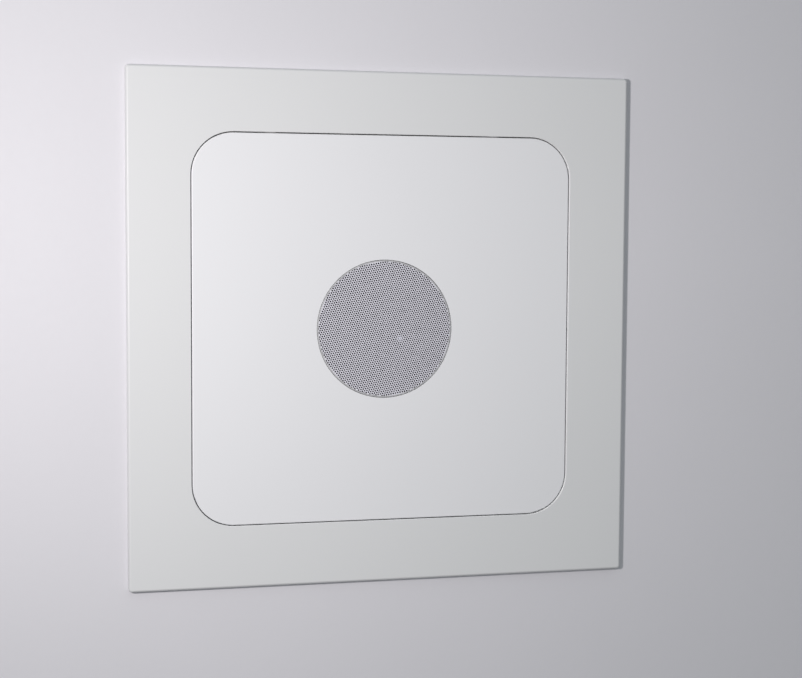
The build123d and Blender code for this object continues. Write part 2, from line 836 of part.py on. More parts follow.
# Lamp board: a ring with sound slots, clamped between the grille and the loudspeaker, a tongue that
# its flexible lead is soldered to, and an arm that carries the status lamp inside the ring
with BuildPart() as lamp_board:
    with BuildSketch(layer(led_front)):
        Circle(grille_flange_radius)
        with Locations((connector_column, (grille_flange_radius + lamp_tongue_reach) / 2)):
            Rectangle(lamp_tongue_width, grille_flange_radius + lamp_tongue_reach)
        Circle(light_ring_inner - lamp_board_margin, mode=Mode.SUBTRACT)
    extrude(amount=-led_board_thickness)
    slot_inner = light_ring_outer + lamp_board_margin
    slot_outer = cup_inner - lamp_board_margin
    slot_middle = (slot_inner + slot_outer) / 2
    slot_sweep = 360 / sound_slot_count - sound_slot_rib / radians(1) / slot_middle
    with BuildSketch(layer(led_front)):
        with PolarLocations(0, sound_slot_count):
            SlotArc(
                CenterArc((0, 0), slot_middle, 0, slot_sweep, mode=Mode.PRIVATE),
                slot_outer - slot_inner,
            )
    extrude(amount=-led_board_thickness, mode=Mode.SUBTRACT)
    status_reach = hypot(status_lamp_x, status_lamp_z)
    status_angle = degrees(atan2(status_lamp_z, status_lamp_x))
    with BuildSketch(layer(led_front)):
        with PolarLocations((status_reach + light_ring_inner) / 2, 1, start_angle=status_angle):
            Rectangle(light_ring_inner - status_reach + status_arm_width, status_arm_width)
    extrude(amount=-led_board_thickness)
lamp_board.part.label = "lamp_board"
export_step(lamp_board.part, "parts/lamp_board.step")

# Lamps on the board: a circle of them inside the light ring's groove, and the status lamp on its arm
with BuildPart() as lamps:
    with BuildSketch(layer(led_front)):
        with PolarLocations(light_ring_radius, led_count):
            Rectangle(led_size, led_size)
        with Locations((status_lamp_x, status_lamp_z)):
            Rectangle(led_size, led_size)
    extrude(amount=led_height)
lamps.part.label = "lamps"
export_step(lamps.part, "parts/lamps.step")

# Foam gasket between the lamp board and the loudspeaker
with BuildPart() as speaker_gasket:
    with BuildSketch(layer(led_back)):
        Circle(grille_flange_radius)
        Circle(gasket_inner, mode=Mode.SUBTRACT)
    extrude(amount=-gasket_thickness)
speaker_gasket.part.label = "speaker_gasket"
export_step(speaker_gasket.part, "parts/speaker_gasket.step")

# Loudspeaker basket: flange with four ears, an open tapering frame and a floor ring on the motor
with BuildPart() as speaker_basket:
    with BuildSketch(Plane.XY):
        with BuildLine():
            Polyline(
                *profile(
                    (basket_radius, speaker_face),
                    (basket_radius, speaker_face - basket_flange),
                    (basket_mouth + 2 * basket_wall, speaker_face - basket_flange),
                    (basket_seat_radius, motor_face + 2 * basket_floor),
                    (basket_seat_radius, motor_face),
                    (basket_seat_radius - basket_floor_ring, motor_face),
                    (basket_seat_radius - basket_floor_ring, spider_back),
                    (basket_seat_radius - basket_wall, spider_back),
                    (basket_seat_radius - basket_wall, motor_face + 2 * basket_floor + basket_wall / 3),
                    (basket_mouth, speaker_face - basket_flange - basket_wall / 2),
                    (basket_mouth, speaker_face),
                ),
                close=True,
            )
        make_face()
    revolve(axis=Axis.Y)
    window_top = speaker_face - basket_flange - basket_wall
    window_bottom = spider_back + basket_wall
    with BuildSketch(layer(window_top)):
        with PolarLocations(basket_seat_radius + basket_wall, basket_window_count):
            Rectangle(2 * (basket_mouth - basket_seat_radius + basket_wall), basket_window_width)
    extrude(amount=window_bottom - window_top, mode=Mode.SUBTRACT)
    with BuildSketch(layer(speaker_face)):
        for place in speaker_places:
            with Locations(place):
                Circle(basket_ear_radius)
        with PolarLocations((hypot(*speaker_places[0]) + basket_mouth) / 2, 4, start_angle=45):
            Rectangle(hypot(*speaker_places[0]) - basket_mouth, 2 * basket_ear_radius)
        with Locations((0, 0)):
            Circle(basket_mouth + basket_wall, mode=Mode.SUBTRACT)
    extrude(amount=-basket_flange)
    with Locations(layer(speaker_face)):
        with Locations(*speaker_places):
            Hole(small_screw_radius + screw_hole_gap, depth=basket_flange)
speaker_basket.part.label = "speaker_basket"
export_step(speaker_basket.part, "parts/speaker_basket.step")

# Screws that hold the loudspeaker to the cover
with BuildPart() as speaker_screws:
    with BuildSketch(layer(speaker_face - basket_flange)):
        with Locations(*speaker_places):
            Circle(small_screw_head)
    extrude(amount=-small_screw_head_height)
    with BuildSketch(layer(speaker_face - basket_flange)):
        with Locations(*speaker_places):
            Circle(small_screw_radius)
    extrude(amount=basket_flange + cover_back - speaker_face)
speaker_screws.part.label = "speaker_screws"
export_step(speaker_screws.part, "parts/speaker_screws.step")

# Surround: the flexible roll between basket and cone, glued to the front of both
roll_middle = (surround_roll_outer + surround_roll_inner) / 2
roll_radius = (surround_roll_outer - surround_roll_inner) / 2
lip_face = speaker_face + surround_thickness
with BuildPart() as speaker_surround:
    with BuildSketch(Plane.XY):
        with BuildLine():
            Polyline(*profile((surround_lip_radius, lip_face), (surround_roll_outer, lip_face)))
            ThreePointArc(
                *profile(
                    (surround_roll_outer, lip_face),
                    (roll_middle, lip_face - roll_radius),
                    (surround_roll_inner, lip_face),
                )
            )
            Polyline(
                *profile(
                    (surround_roll_inner, lip_face),
                    (surround_lip_inner, lip_face),
                    (surround_lip_inner, speaker_face),
                    (surround_roll_inner - surround_thickness, speaker_face),
                )
            )
            ThreePointArc(
                *profile(
                    (surround_roll_inner - surround_thickness, speaker_face),
                    (roll_middle, speaker_face - roll_radius),
                    (surround_roll_outer + surround_thickness, speaker_face),
                )
            )
            Polyline(
                *profile(
                    (surround_roll_outer + surround_thickness, speaker_face),
                    (surround_lip_radius, speaker_face),
                    (surround_lip_radius, lip_face),
                )
            )
        make_face()
    revolve(axis=Axis.Y)
speaker_surround.part.label = "speaker_surround"
export_step(speaker_surround.part, "parts/speaker_surround.step")

# Cone of the loudspeaker
cone_neck_radius = coil_former_radius + pilot_gap
with BuildPart() as speaker_cone:
    with BuildSketch(Plane.XY):
        with BuildLine():
            Polyline(
                *profile(
                    (cone_radius, speaker_face),
                    (cone_radius - cone_rim, speaker_face),
                    (cone_neck_radius, cone_neck),
                    (cone_neck_radius, cone_neck - cone_thickness),
                    (cone_radius - cone_rim, speaker_face - cone_thickness),
                    (cone_radius, speaker_face - cone_thickness),
                ),
                close=True,
            )
        make_face()
    revolve(axis=Axis.Y)
speaker_cone.part.label = "speaker_cone"
export_step(speaker_cone.part, "parts/speaker_cone.step")

# Dust cap: a shallow dome on the end of the coil former
dome_radius = (coil_former_radius**2 + dust_cap_rise**2) / (2 * dust_cap_rise)
dome_inside = dome_radius - dust_cap_thickness
dome_centre = (0, dome_radius - dust_cap_rise - cone_neck)
with BuildPart() as dust_cap:
    with BuildSketch(Plane.XY):
        with BuildLine():
            outside = CenterArc(dome_centre, dome_radius, -90, degrees(acos(1 - dust_cap_rise / dome_radius)))
            inside = CenterArc(
                dome_centre, dome_inside, -90, degrees(acos((dome_radius - dust_cap_rise) / dome_inside))
            )
            Line(outside @ 1, inside @ 1)
            Line(inside @ 0, outside @ 0)
        make_face()
    revolve(axis=Axis.Y)
dust_cap.part.label = "dust_cap"
export_step(dust_cap.part, "parts/dust_cap.step")

# Voice coil: the former with its winding at the end that hangs in the magnet's gap
with BuildPart() as voice_coil:
    with BuildSketch(layer(cone_neck)):
        Circle(coil_former_radius)
        Circle(coil_bore, mode=Mode.SUBTRACT)
    extrude(amount=coil_end - cone_neck)
    with BuildSketch(layer(coil_end)):
        Circle(coil_outer)
        Circle(coil_bore, mode=Mode.SUBTRACT)
    extrude(amount=coil_length)
voice_coil.part.label = "voice_coil"
export_step(voice_coil.part, "parts/voice_coil.step")

# Spider: the corrugated disc that centres the coil, glued to the basket's floor ring
spider_inner = coil_former_radius + spider_clearance
spider_face = spider_back + spider_thickness
rolls_outer = spider_radius - spider_rim
roll_pitch = (rolls_outer - spider_inner - spider_collar) / spider_roll_count
with BuildPart() as speaker_spider:
    with BuildSketch(Plane.XY):
        with BuildLine():
            for out in (spider_back, spider_face):
                for roll in range(spider_roll_count):
                    roll_start = rolls_outer - roll * roll_pitch
                    ThreePointArc(
                        *profile(
                            (roll_start, out),
                            (roll_start - roll_pitch / 2, out + spider_roll_height),
                            (roll_start - roll_pitch, out),
                        )
                    )
            Polyline(
                *profile(
                    (rolls_outer, spider_back),
                    (spider_radius, spider_back),
                    (spider_radius, spider_face),
                    (rolls_outer, spider_face),
                )
            )
            Polyline(
                *profile(
                    (spider_inner + spider_collar, spider_back),
                    (spider_inner, spider_back),
                    (spider_inner, spider_face),
                    (spider_inner + spider_collar, spider_face),
                )
            )
        make_face()
    revolve(axis=Axis.Y)
speaker_spider.part.label = "speaker_spider"
export_step(speaker_spider.part, "parts/speaker_spider.step")

# Magnet motor: top plate, ring magnet, and the yoke whose pole stands inside the coil
with BuildPart() as top_plate:
    with BuildSketch(layer(motor_face)):
        Circle(top_plate_radius)
        Circle(coil_outer + air_gap, mode=Mode.SUBTRACT)
    extrude(amount=-top_plate_thickness)
top_plate.part.label = "top_plate"
export_step(top_plate.part, "parts/top_plate.step")

with BuildPart() as ring_magnet:
    with BuildSketch(layer(top_plate_back)):
        Circle(ring_magnet_radius)
        Circle(ring_magnet_bore, mode=Mode.SUBTRACT)
    extrude(amount=-ring_magnet_thickness)
ring_magnet.part.label = "ring_magnet"
export_step(ring_magnet.part, "parts/ring_magnet.step")

with BuildPart() as pole_yoke:
    with BuildSketch(layer(ring_magnet_back)):
        Circle(ring_magnet_radius - yoke_inset)
    extrude(amount=-yoke_thickness)
    with BuildSketch(layer(ring_magnet_back)):
        Circle(coil_bore - air_gap)
    extrude(amount=motor_face - ring_magnet_back)
pole_yoke.part.label = "pole_yoke"
export_step(pole_yoke.part, "parts/pole_yoke.step")

# Main circuit board on the cover's posts
with BuildPart() as main_board:
    with BuildSketch(layer(board_front)):
        with Locations((0, board_centre)):
            Rectangle(board_width, board_height)
    extrude(amount=-board_thickness)
    with Locations(layer(board_front)):
        with Locations(*board_places):
            Hole(small_screw_radius + screw_hole_gap, depth=board_thickness)
main_board.part.label = "main_board"
export_step(main_board.part, "parts/main_board.step")

with BuildPart() as board_screws:
    with BuildSketch(layer(board_back)):
        with Locations(*board_places):
            Circle(small_screw_head)
    extrude(amount=-small_screw_head_height)
    with BuildSketch(layer(board_back)):
        with Locations(*board_places):
            Circle(small_screw_radius)
    extrude(amount=small_screw_length)
board_screws.part.label = "board_screws"
export_step(board_screws.part, "parts/board_screws.step")

# Shield cans over the radio and the processor
can_shift = (can_width + can_spacing) / 2
with BuildPart() as shield_cans:
    with BuildSketch(layer(board_front)):
        with Locations((-can_shift, board_centre), (can_shift, board_centre)):
            RectangleRounded(can_width, can_height, can_corner)
    extrude(amount=can_thickness)
    fillet(shield_cans.faces().sort_by(Axis.Y)[:2].edges(), can_corner / 2)
shield_cans.part.label = "shield_cans"
export_step(shield_cans.part, "parts/shield_cans.step")

# Network socket, open to the back of the unit
with BuildPart() as network_socket:
    with BuildSketch(layer(board_back)):
        with Locations((network_x, port_height)):
            Rectangle(network_width, network_height)
    extrude(amount=port_face - board_back)
    with BuildSketch(layer(port_face)):
        with Locations((network_x, port_height)):
            Rectangle(network_port_width, network_port_height)
        with Locations((network_x, port_height - (network_port_height + latch_height) / 2)):
            Rectangle(latch_width, latch_height)
    extrude(amount=network_port_depth, mode=Mode.SUBTRACT)
network_socket.part.label = "network_socket"
export_step(network_socket.part, "parts/network_socket.step")

# Supply socket: a square base and a round barrel with a blind bore
with BuildPart() as supply_socket:
    with BuildSketch(layer(board_back)):
        with Locations((supply_x, port_height)):
            Rectangle(supply_body, supply_body)
    extrude(amount=port_face + supply_bore_depth - board_back)
    with BuildSketch(layer(board_back)):
        with Locations((supply_x, port_height)):
            Circle(supply_barrel_radius)
    extrude(amount=port_face - board_back)
    with BuildSketch(layer(port_face)):
        with Locations((supply_x, port_height)):
            Circle(supply_bore)
    extrude(amount=supply_bore_depth, mode=Mode.SUBTRACT)
supply_socket.part.label = "supply_socket"
export_step(supply_socket.part, "parts/supply_socket.step")

# Contact pin that stands on the floor of the supply socket's bore
with BuildPart() as supply_pin:
    with BuildSketch(layer(port_face + supply_bore_depth)):
        with Locations((supply_x, port_height)):
            Circle(supply_pin_radius)
    extrude(amount=-supply_pin_length)
    chamfer(supply_pin.faces().sort_by(Axis.Y)[-1].edges(), supply_pin_radius / 3)
supply_pin.part.label = "supply_pin"
export_step(supply_pin.part, "parts/supply_pin.step")

# Reset switch on the board, its plunger, and the button that pushes it
with BuildPart() as reset_switch:
    with BuildSketch(layer(board_back)):
        with Locations((button_x, port_height)):
            Rectangle(switch_size, switch_size)
    extrude(amount=-switch_height)
    with BuildSketch(layer(switch_face)):
        with Locations((button_x, port_height)):
            Circle(plunger_radius + plunger_clearance)
    extrude(amount=plunger_length - plunger_height + plunger_bore_gap, mode=Mode.SUBTRACT)
reset_switch.part.label = "reset_switch"
export_step(reset_switch.part, "parts/reset_switch.step")

with BuildPart() as switch_plunger:
    with BuildSketch(layer(plunger_tip)):
        with Locations((button_x, port_height)):
            Circle(plunger_radius)
    extrude(amount=plunger_length)
switch_plunger.part.label = "switch_plunger"
export_step(switch_plunger.part, "parts/switch_plunger.step")

with BuildPart() as reset_button:
    with BuildSketch(layer(unit_back)):
        with Locations((button_x, port_height)):
            Circle(button_radius)
    extrude(amount=shell_wall)
    with BuildSketch(layer(floor_out)):
        with Locations((button_x, port_height)):
            Circle(button_flange_radius)
    extrude(amount=button_flange)
    with BuildSketch(layer(floor_out)):
        with Locations((button_x, port_height)):
            Circle(button_stem_radius)
    extrude(amount=plunger_tip - floor_out)
reset_button.part.label = "reset_button"
export_step(reset_button.part, "parts/reset_button.step")

# Back-up battery: two cells in a cradle on the housing floor, with a foam pad in front of them
cell_rows = [cell_centre_z - cell_pitch / 2, cell_centre_z + cell_pitch / 2]
with BuildPart() as battery_cells:
    for row in cell_rows:
        with BuildSketch(Plane.YZ.offset(-cell_length / 2)):
            with Locations((-cell_centre_out, row)):
                Circle(cell_radius)
        extrude(amount=cell_length - cell_cap_length)
        with BuildSketch(Plane.YZ.offset(cell_length / 2 - cell_cap_length)):
            with Locations((-cell_centre_out, row)):
                Circle(cell_cap_radius)
        extrude(amount=cell_cap_length)
battery_cells.part.label = "battery_cells"
export_step(battery_cells.part, "parts/battery_cells.step")

with BuildPart() as battery_holder:
    with BuildSketch(layer(floor_out)):
        with Locations((0, cell_centre_z)):
            Rectangle(holder_inside + 2 * holder_wall, holder_span)
    extrude(amount=holder_height + holder_end_rise)
    with BuildSketch(layer(floor_out + holder_height)):
        with Locations((0, cell_centre_z)):
            Rectangle(holder_inside, holder_span)
    extrude(amount=holder_end_rise, mode=Mode.SUBTRACT)
    for row in cell_rows:
        with BuildSketch(Plane.YZ.offset(-holder_inside / 2)):
            with Locations((-cell_centre_out, row)):
                Circle(cell_radius + cell_clearance)
        extrude(amount=holder_inside, mode=Mode.SUBTRACT)
    slot_floor = cell_centre_out - strap_slot_width / 2
    with BuildSketch(layer(slot_floor)):
        with Locations((-strap_face, cell_centre_z), (strap_face, cell_centre_z)):
            Rectangle(2 * holder_wall, strap_slot_width)
    extrude(amount=floor_out + holder_height + holder_end_rise - slot_floor, mode=Mode.SUBTRACT)
battery_holder.part.label = "battery_holder"
export_step(battery_holder.part, "parts/battery_holder.step")

with BuildPart() as battery_pad:
    with BuildSketch(layer(cover_back)):
        with Locations((0, cell_centre_z)):
            Rectangle(pad_width, holder_span)
    extrude(amount=cell_centre_out + cell_radius + pad_gap - cover_back)
battery_pad.part.label = "battery_pad"
export_step(battery_pad.part, "parts/battery_pad.step")

# Nickel straps between the cells and the ends of the cradle, joining the two cells side by side
with BuildPart() as battery_straps:
    with BuildSketch(Plane.YZ.offset(-strap_face)):
        with Locations((-cell_centre_out, cell_centre_z)):
            Rectangle(strap_width, cell_pitch + 2 * strap_overhang)
    extrude(amount=cell_clearance)
    mirror(about=Plane.YZ)
battery_straps.part.label = "battery_straps"
export_step(battery_straps.part, "parts/battery_straps.step")

# Radio antennas, bonded behind the face on either side of the loudspeaker
with BuildPart() as antennas:
    with BuildSketch(layer(cover_back)):
        with Locations((-antenna_x, 0), (antenna_x, 0)):
            Rectangle(antenna_width, antenna_height)
    extrude(amount=-antenna_thickness)
antennas.part.label = "antennas"
export_step(antennas.part, "parts/antennas.step")

# Connectors on the board: loudspeaker and lamps in front, the two battery leads behind
with BuildPart() as board_connectors:
    with BuildSketch(layer(board_front)):
        front_row = connector_foot + connector_height / 2
        with Locations((-connector_column, front_row), (connector_column, front_row)):
            Rectangle(connector_width, connector_height)
    extrude(amount=connector_thickness)
    with BuildSketch(layer(board_back)):
        back_row = battery_connector_foot + connector_height / 2
        with Locations((-lead_lane, back_row), (lead_lane, back_row)):
            Rectangle(connector_width, connector_height)
    extrude(amount=-connector_thickness)
board_connectors.part.label = "board_connectors"
export_step(board_connectors.part, "parts/board_connectors.step")

with BuildPart() as antenna_sockets:
    with BuildSketch(layer(board_front)):
        socket_row = antenna_socket_foot + antenna_socket_size / 2
        with Locations((-coax_column, socket_row), (coax_column, socket_row)):
            Rectangle(antenna_socket_size, antenna_socket_size)
    extrude(amount=antenna_socket_thickness)
antenna_sockets.part.label = "antenna_sockets"
export_step(antenna_sockets.part, "parts/antenna_sockets.step")

# Chips in front of the board, and the supply's capacitors behind it
with BuildPart() as board_chips:
    with BuildSketch(layer(board_front)):
        chip_row = board_centre + chip_rise
        with Locations((-chip_column, chip_row), (0, chip_row), (chip_column, chip_row)):
            Rectangle(chip_size, chip_size)
    extrude(amount=chip_thickness)
board_chips.part.label = "board_chips"
export_step(board_chips.part, "parts/board_chips.step")

with BuildPart() as board_capacitors:
    with BuildSketch(layer(board_back)):
        capacitor_row = board_centre + capacitor_rise
        for side in (-1, 1):
            with Locations((lead_lane + side * capacitor_spacing / 2, capacitor_row)):
                Circle(capacitor_radius)
    extrude(amount=-capacitor_height)
    fillet(board_capacitors.faces().sort_by(Axis.Y)[-2:].edges(), capacitor_radius / 8)
board_capacitors.part.label = "board_capacitors"
export_step(board_capacitors.part, "parts/board_capacitors.step")

# Terminal strip behind the loudspeaker's flange, and the pair of leads from it to the board
with BuildPart() as speaker_terminal:
    with BuildSketch(layer(speaker_face - basket_flange)):
        with Locations((-connector_column, terminal_top - terminal_height / 2)):
            Rectangle(terminal_width, terminal_height)
    extrude(amount=-terminal_thickness)
speaker_terminal.part.label = "speaker_terminal"
export_step(speaker_terminal.part, "parts/speaker_terminal.step")

with BuildPart() as speaker_leads:
    for side in (-1, 1):
        lead_x = side * lead_pitch / 2 - connector_column
        stops = [
            at(lead_x, terminal_top, terminal_out),
            at(lead_x, terminal_top + lead_straight, terminal_out),
            at(lead_x, connector_foot - lead_straight, connector_out),
            at(lead_x, connector_foot, connector_out),
        ]
        with BuildLine() as route:
            FilletPolyline(*stops, radius=bend_radii(stops))
        with BuildSketch(Plane(origin=stops[0], z_dir=(0, 0, 1))):
            Circle(lead_radius)
        sweep(path=route.line)
speaker_leads.part.label = "speaker_leads"
export_step(speaker_leads.part, "parts/speaker_leads.step")

# Flexible strip from the lamp board's tongue to the board
with BuildPart() as lamp_flex:
    stops = [
        at(connector_column, basket_radius, flex_out),
        at(connector_column, grille_flange_radius + lamp_tongue_reach, flex_out),
        at(connector_column, connector_foot - lead_straight, connector_out),
        at(connector_column, connector_foot, connector_out),
    ]
    with BuildLine() as route:
        FilletPolyline(*stops, radius=bend_radii(stops))
    with BuildSketch(Plane(origin=stops[0], z_dir=(0, 0, 1))):
        Rectangle(flex_width, flex_thickness)
    sweep(path=route.line)
lamp_flex.part.label = "lamp_flex"
export_step(lamp_flex.part, "parts/lamp_flex.step")

# Battery leads: from a strap through the cradle's end, along the housing floor and up to the board
with BuildPart() as battery_leads:
    lane_start = cell_centre_z + lead_turn_in
    stops = [
        at(-strap_face, cell_centre_z, cell_centre_out),
        at((-strap_face - lead_lane) / 2, cell_centre_z, cell_centre_out),
        at(-lead_lane, lane_start, lead_floor),
        at(-lead_lane, lane_start + lead_lane_length, lead_floor),
        at(-lead_lane, battery_connector_foot - lead_straight, battery_connector_out),
        at(-lead_lane, battery_connector_foot, battery_connector_out),
    ]
    with BuildLine() as route:
        FilletPolyline(*stops, radius=bend_radii(stops))
    with BuildSketch(Plane(origin=stops[0], z_dir=(-1, 0, 0))):
        Circle(lead_radius)
    sweep(path=route.line)
    mirror(about=Plane.YZ)
battery_leads.part.label = "battery_leads"
export_step(battery_leads.part, "parts/battery_leads.step")

# Antenna leads: thin coaxial leads from the top of each antenna to the board
with BuildPart() as antenna_leads:
    antenna_top = antenna_height / 2
    antenna_out = cover_back - antenna_thickness / 2
    stops = [
        at(-antenna_x, antenna_top, antenna_out),
        at(-antenna_x, antenna_top + coax_straight, antenna_out),
        at(-coax_column, antenna_socket_foot - coax_straight, antenna_socket_out),
        at(-coax_column, antenna_socket_foot, antenna_socket_out),
    ]
    with BuildLine() as route:
        FilletPolyline(*stops, radius=bend_radii(stops))
    with BuildSketch(Plane(origin=stops[0], z_dir=(0, 0, 1))):
        Circle(coax_radius)
    sweep(path=route.line)
    mirror(about=Plane.YZ)
antenna_leads.part.label = "antenna_leads"
export_step(antenna_leads.part, "parts/antenna_leads.step")
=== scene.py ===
# %% [markdown]
# # A flush wall chime, dressed for its picture
# The object is the indoor chime station of a doorbell and alarm set: a white rounded-square unit with
# a round speaker grille, let into a square white trim frame on a wall. Its pieces come from the CAD
# frame at their real size and place, so nothing is fitted here. What this lesson adds is the way each
# surface looks, and the small forms that are too fine for the solids.

# %% Load the frame
import json
import math

import bmesh
import bpy
from mathutils import Matrix, Vector


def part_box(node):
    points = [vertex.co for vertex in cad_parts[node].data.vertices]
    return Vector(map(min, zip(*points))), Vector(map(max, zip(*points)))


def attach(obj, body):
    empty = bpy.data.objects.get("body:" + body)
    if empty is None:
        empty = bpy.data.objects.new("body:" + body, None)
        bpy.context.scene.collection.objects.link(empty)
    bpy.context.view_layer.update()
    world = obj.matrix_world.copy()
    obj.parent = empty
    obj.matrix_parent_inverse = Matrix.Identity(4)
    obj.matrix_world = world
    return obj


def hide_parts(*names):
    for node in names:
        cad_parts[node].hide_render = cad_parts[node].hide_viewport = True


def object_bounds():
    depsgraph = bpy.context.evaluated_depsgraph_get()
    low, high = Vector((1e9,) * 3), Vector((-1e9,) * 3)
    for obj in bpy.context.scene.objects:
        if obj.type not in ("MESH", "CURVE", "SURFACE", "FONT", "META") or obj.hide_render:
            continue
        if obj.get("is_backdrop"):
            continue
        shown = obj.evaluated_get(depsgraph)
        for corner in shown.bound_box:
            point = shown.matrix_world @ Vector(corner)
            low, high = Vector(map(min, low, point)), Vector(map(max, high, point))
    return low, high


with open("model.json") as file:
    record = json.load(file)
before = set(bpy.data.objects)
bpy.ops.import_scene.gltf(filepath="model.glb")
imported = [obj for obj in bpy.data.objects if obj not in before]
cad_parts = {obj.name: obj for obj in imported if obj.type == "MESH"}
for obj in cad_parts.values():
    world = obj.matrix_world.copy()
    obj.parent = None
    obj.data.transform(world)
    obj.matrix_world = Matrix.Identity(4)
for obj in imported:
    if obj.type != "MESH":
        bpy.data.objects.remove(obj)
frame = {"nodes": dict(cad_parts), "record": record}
scene = bpy.context.scene
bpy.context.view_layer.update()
MM = 0.001
MICRON = 0.001 * MM


def add_object(name, data):
    """A new object in the scene."""
    added = bpy.data.objects.new(name, data)
    scene.collection.objects.link(added)
    return added


print("pieces in the frame:", len(frame["nodes"]))

# %% [markdown]
# ## Where the viewer stands
# The picture is taken from the left of the chime and a little above its middle. A camera can be placed
# by eye, but the trim is a true square, so its four corners and those of the gap inside it are enough to
# work out the camera's lens, place and turn. They are kept here as real sizes: a focal length in image
# pixels, a point in metres and three angles.

# %% Camera
PHOTO_WIDTH = 802
FOCAL_PIXELS = 1552.1
SENSOR_MM = 36.0
VIEW_POINT = Vector((-0.1568, -0.6649, 0.0439))
VIEW_YAW = math.radians(13.916)
VIEW_PITCH = math.radians(-4.059)
VIEW_ROLL = math.radians(0.323)

camera = add_object("camera", bpy.data.cameras.new("camera"))
camera.data.sensor_fit = "HORIZONTAL"
camera.data.sensor_width = SENSOR_MM
camera.data.lens = FOCAL_PIXELS / PHOTO_WIDTH * SENSOR_MM
level_gaze = Matrix.Rotation(math.pi / 2 + VIEW_PITCH, 4, "X")
camera.matrix_world = (
    Matrix.Translation(VIEW_POINT)
    @ Matrix.Rotation(-VIEW_YAW, 4, "Z")
    @ level_gaze
    @ Matrix.Rotation(VIEW_ROLL, 4, "Z")
)
scene.camera = camera
scene.view_settings.view_transform = "Standard"
print("lens in mm:", round(camera.data.lens, 2))

# %% [markdown]
# ## A small helper for nodes
# Every finish below is a little tree of nodes. Blender's own calls for adding, setting and linking a
# node take many lines, so these helpers say the same in one line each. A value that is handed over may
# be a plain number or colour, or the output of another node, and then it is linked.

# %% Node helpers
def feed(tree, socket, value):
    """Sets an input to a plain value, or links it to the output that is given."""
    if isinstance(value, bpy.types.NodeSocket):
        tree.links.new(value, socket)
    else:
        socket.default_value = value


def put(tree, kind, settings=None, **inputs):
    """Adds a shader node with its settings; an input's name has _ for each space."""
    node = tree.nodes.new("ShaderNode" + kind)
    for name, value in (settings or {}).items():
        setattr(node, name, value)
    for name, value in inputs.items():
        feed(tree, node.inputs[name.replace("_", " ")], value)
    return node


print("nodes can be put and fed")

# %% Arithmetic with nodes
def maths(tree, operation, first, second=0.0):
    """One step of arithmetic on two values."""
    node = put(tree, "Math", {"operation": operation})
    feed(tree, node.inputs[0], first)
    feed(tree, node.inputs[1], second)
    return node.outputs[0]


def measure(tree, operation, first, second=(0.0, 0.0, 0.0)):
    """One value worked out from two vectors."""
    node = put(tree, "VectorMath", {"operation": operation})
    feed(tree, node.inputs[0], first)
    feed(tree, node.inputs[1], second)
    return node.outputs["Value"]


def mix_colours(tree, share, first, second, how="MIX"):
    """The first colour where share is 0, and the second one where it is 1."""
    node = put(tree, "Mix", {"data_type": "RGBA", "blend_type": how})
    feed(tree, node.inputs[0], share)
    feed(tree, node.inputs[6], first)
    feed(tree, node.inputs[7], second)
    return node.outputs[2]


def stretch(tree, value, low, high, to_low=0.0, to_high=1.0):
    """Maps a value from one range to another, and stops at the ends."""
    ends = {"From_Min": low, "From_Max": high, "To_Min": to_low, "To_Max": to_high}
    return put(tree, "MapRange", {"clamp": True}, Value=value, **ends).outputs["Result"]


def noise(tree, place, per_metre, detail):
    """A cloudy value about one half, with so many clouds per metre."""
    return put(tree, "TexNoise", Vector=place, Scale=per_metre, Detail=detail).outputs[0]


print("nodes can count, measure and mix colours")

# %% Places and materials
finishes = {}


def place_in_object(tree):
    """The point on the surface, in metres, in the frame of the object itself."""
    return put(tree, "TexCoord").outputs["Object"]


def from_axis(tree):
    """How far the point on the surface is from the chime's middle axis, and its place across the axis."""
    across = put(tree, "SeparateXYZ", Vector=place_in_object(tree)).outputs
    flat_place = put(tree, "CombineXYZ", X=across["X"], Z=across["Z"]).outputs[0]
    return measure(tree, "LENGTH", flat_place), flat_place


def new_finish(name, **sockets):
    """A new material among the finishes. Returns its tree and its shader, with plain values set."""
    material = finishes[name] = bpy.data.materials.new(name)
    material.use_nodes = True
    shader = material.node_tree.nodes["Principled BSDF"]
    for socket, value in sockets.items():
        shader.inputs[socket.replace("_", " ")].default_value = value
    return material.node_tree, shader


def raise_bumps(tree, shader, height, microns):
    """Lets a height between 0 and 1 lift the surface by this many microns at most."""
    bump = put(tree, "Bump", Strength=1.0, Distance=microns * MICRON, Height=height)
    tree.links.new(bump.outputs["Normal"], shader.inputs["Normal"])


print("finishes can be made")

# %% [markdown]
# ## Light from the left
# In the picture the wall and the chime are brightest at the left and fall away to the lower right, and
# the shadows beside the trim are thin and crisp. One small lamp, near and to the left, gives both: the
# smaller it is, the sharper its shadows are, and a hood that narrows its beam lets the light fade away
# from the point it is aimed at. A sky fills the shadows, a little cooler than the lamp, as daylight is. It
# is brighter above than below, as a room's ceiling is brighter than its floor: edges that face up stay
# pale and the line under the trim is dark. A second lamp stands behind the wall for views of the back, and
# can't reach the front.

# %% Lamps
KEY_PLACE = Vector((-0.316, -0.373, 0.063))
KEY_AIM = Vector((0.14, 0.0, 0.048))
KEY_BEAM = math.radians(143)
KEY_SIZE = 0.04
KEY_POWER = 1.03
KEY_TINT = (1.035, 0.99, 0.98)
BACK_PLACE = Vector((0.55, 0.75, 0.60))
BACK_SIZE = 0.6
BACK_POWER = 14.0


def soft_lamp(name, place, size, power, aim=Vector((0, 0, 0))):
    """A square lamp that faces a point on the chime."""
    lamp = add_object(name, bpy.data.lights.new(name, "AREA"))
    lamp.data.size = size
    lamp.data.energy = power
    lamp.location = place
    lamp.rotation_mode = "QUATERNION"
    lamp.rotation_quaternion = (aim - place).to_track_quat("-Z", "Y")
    return lamp


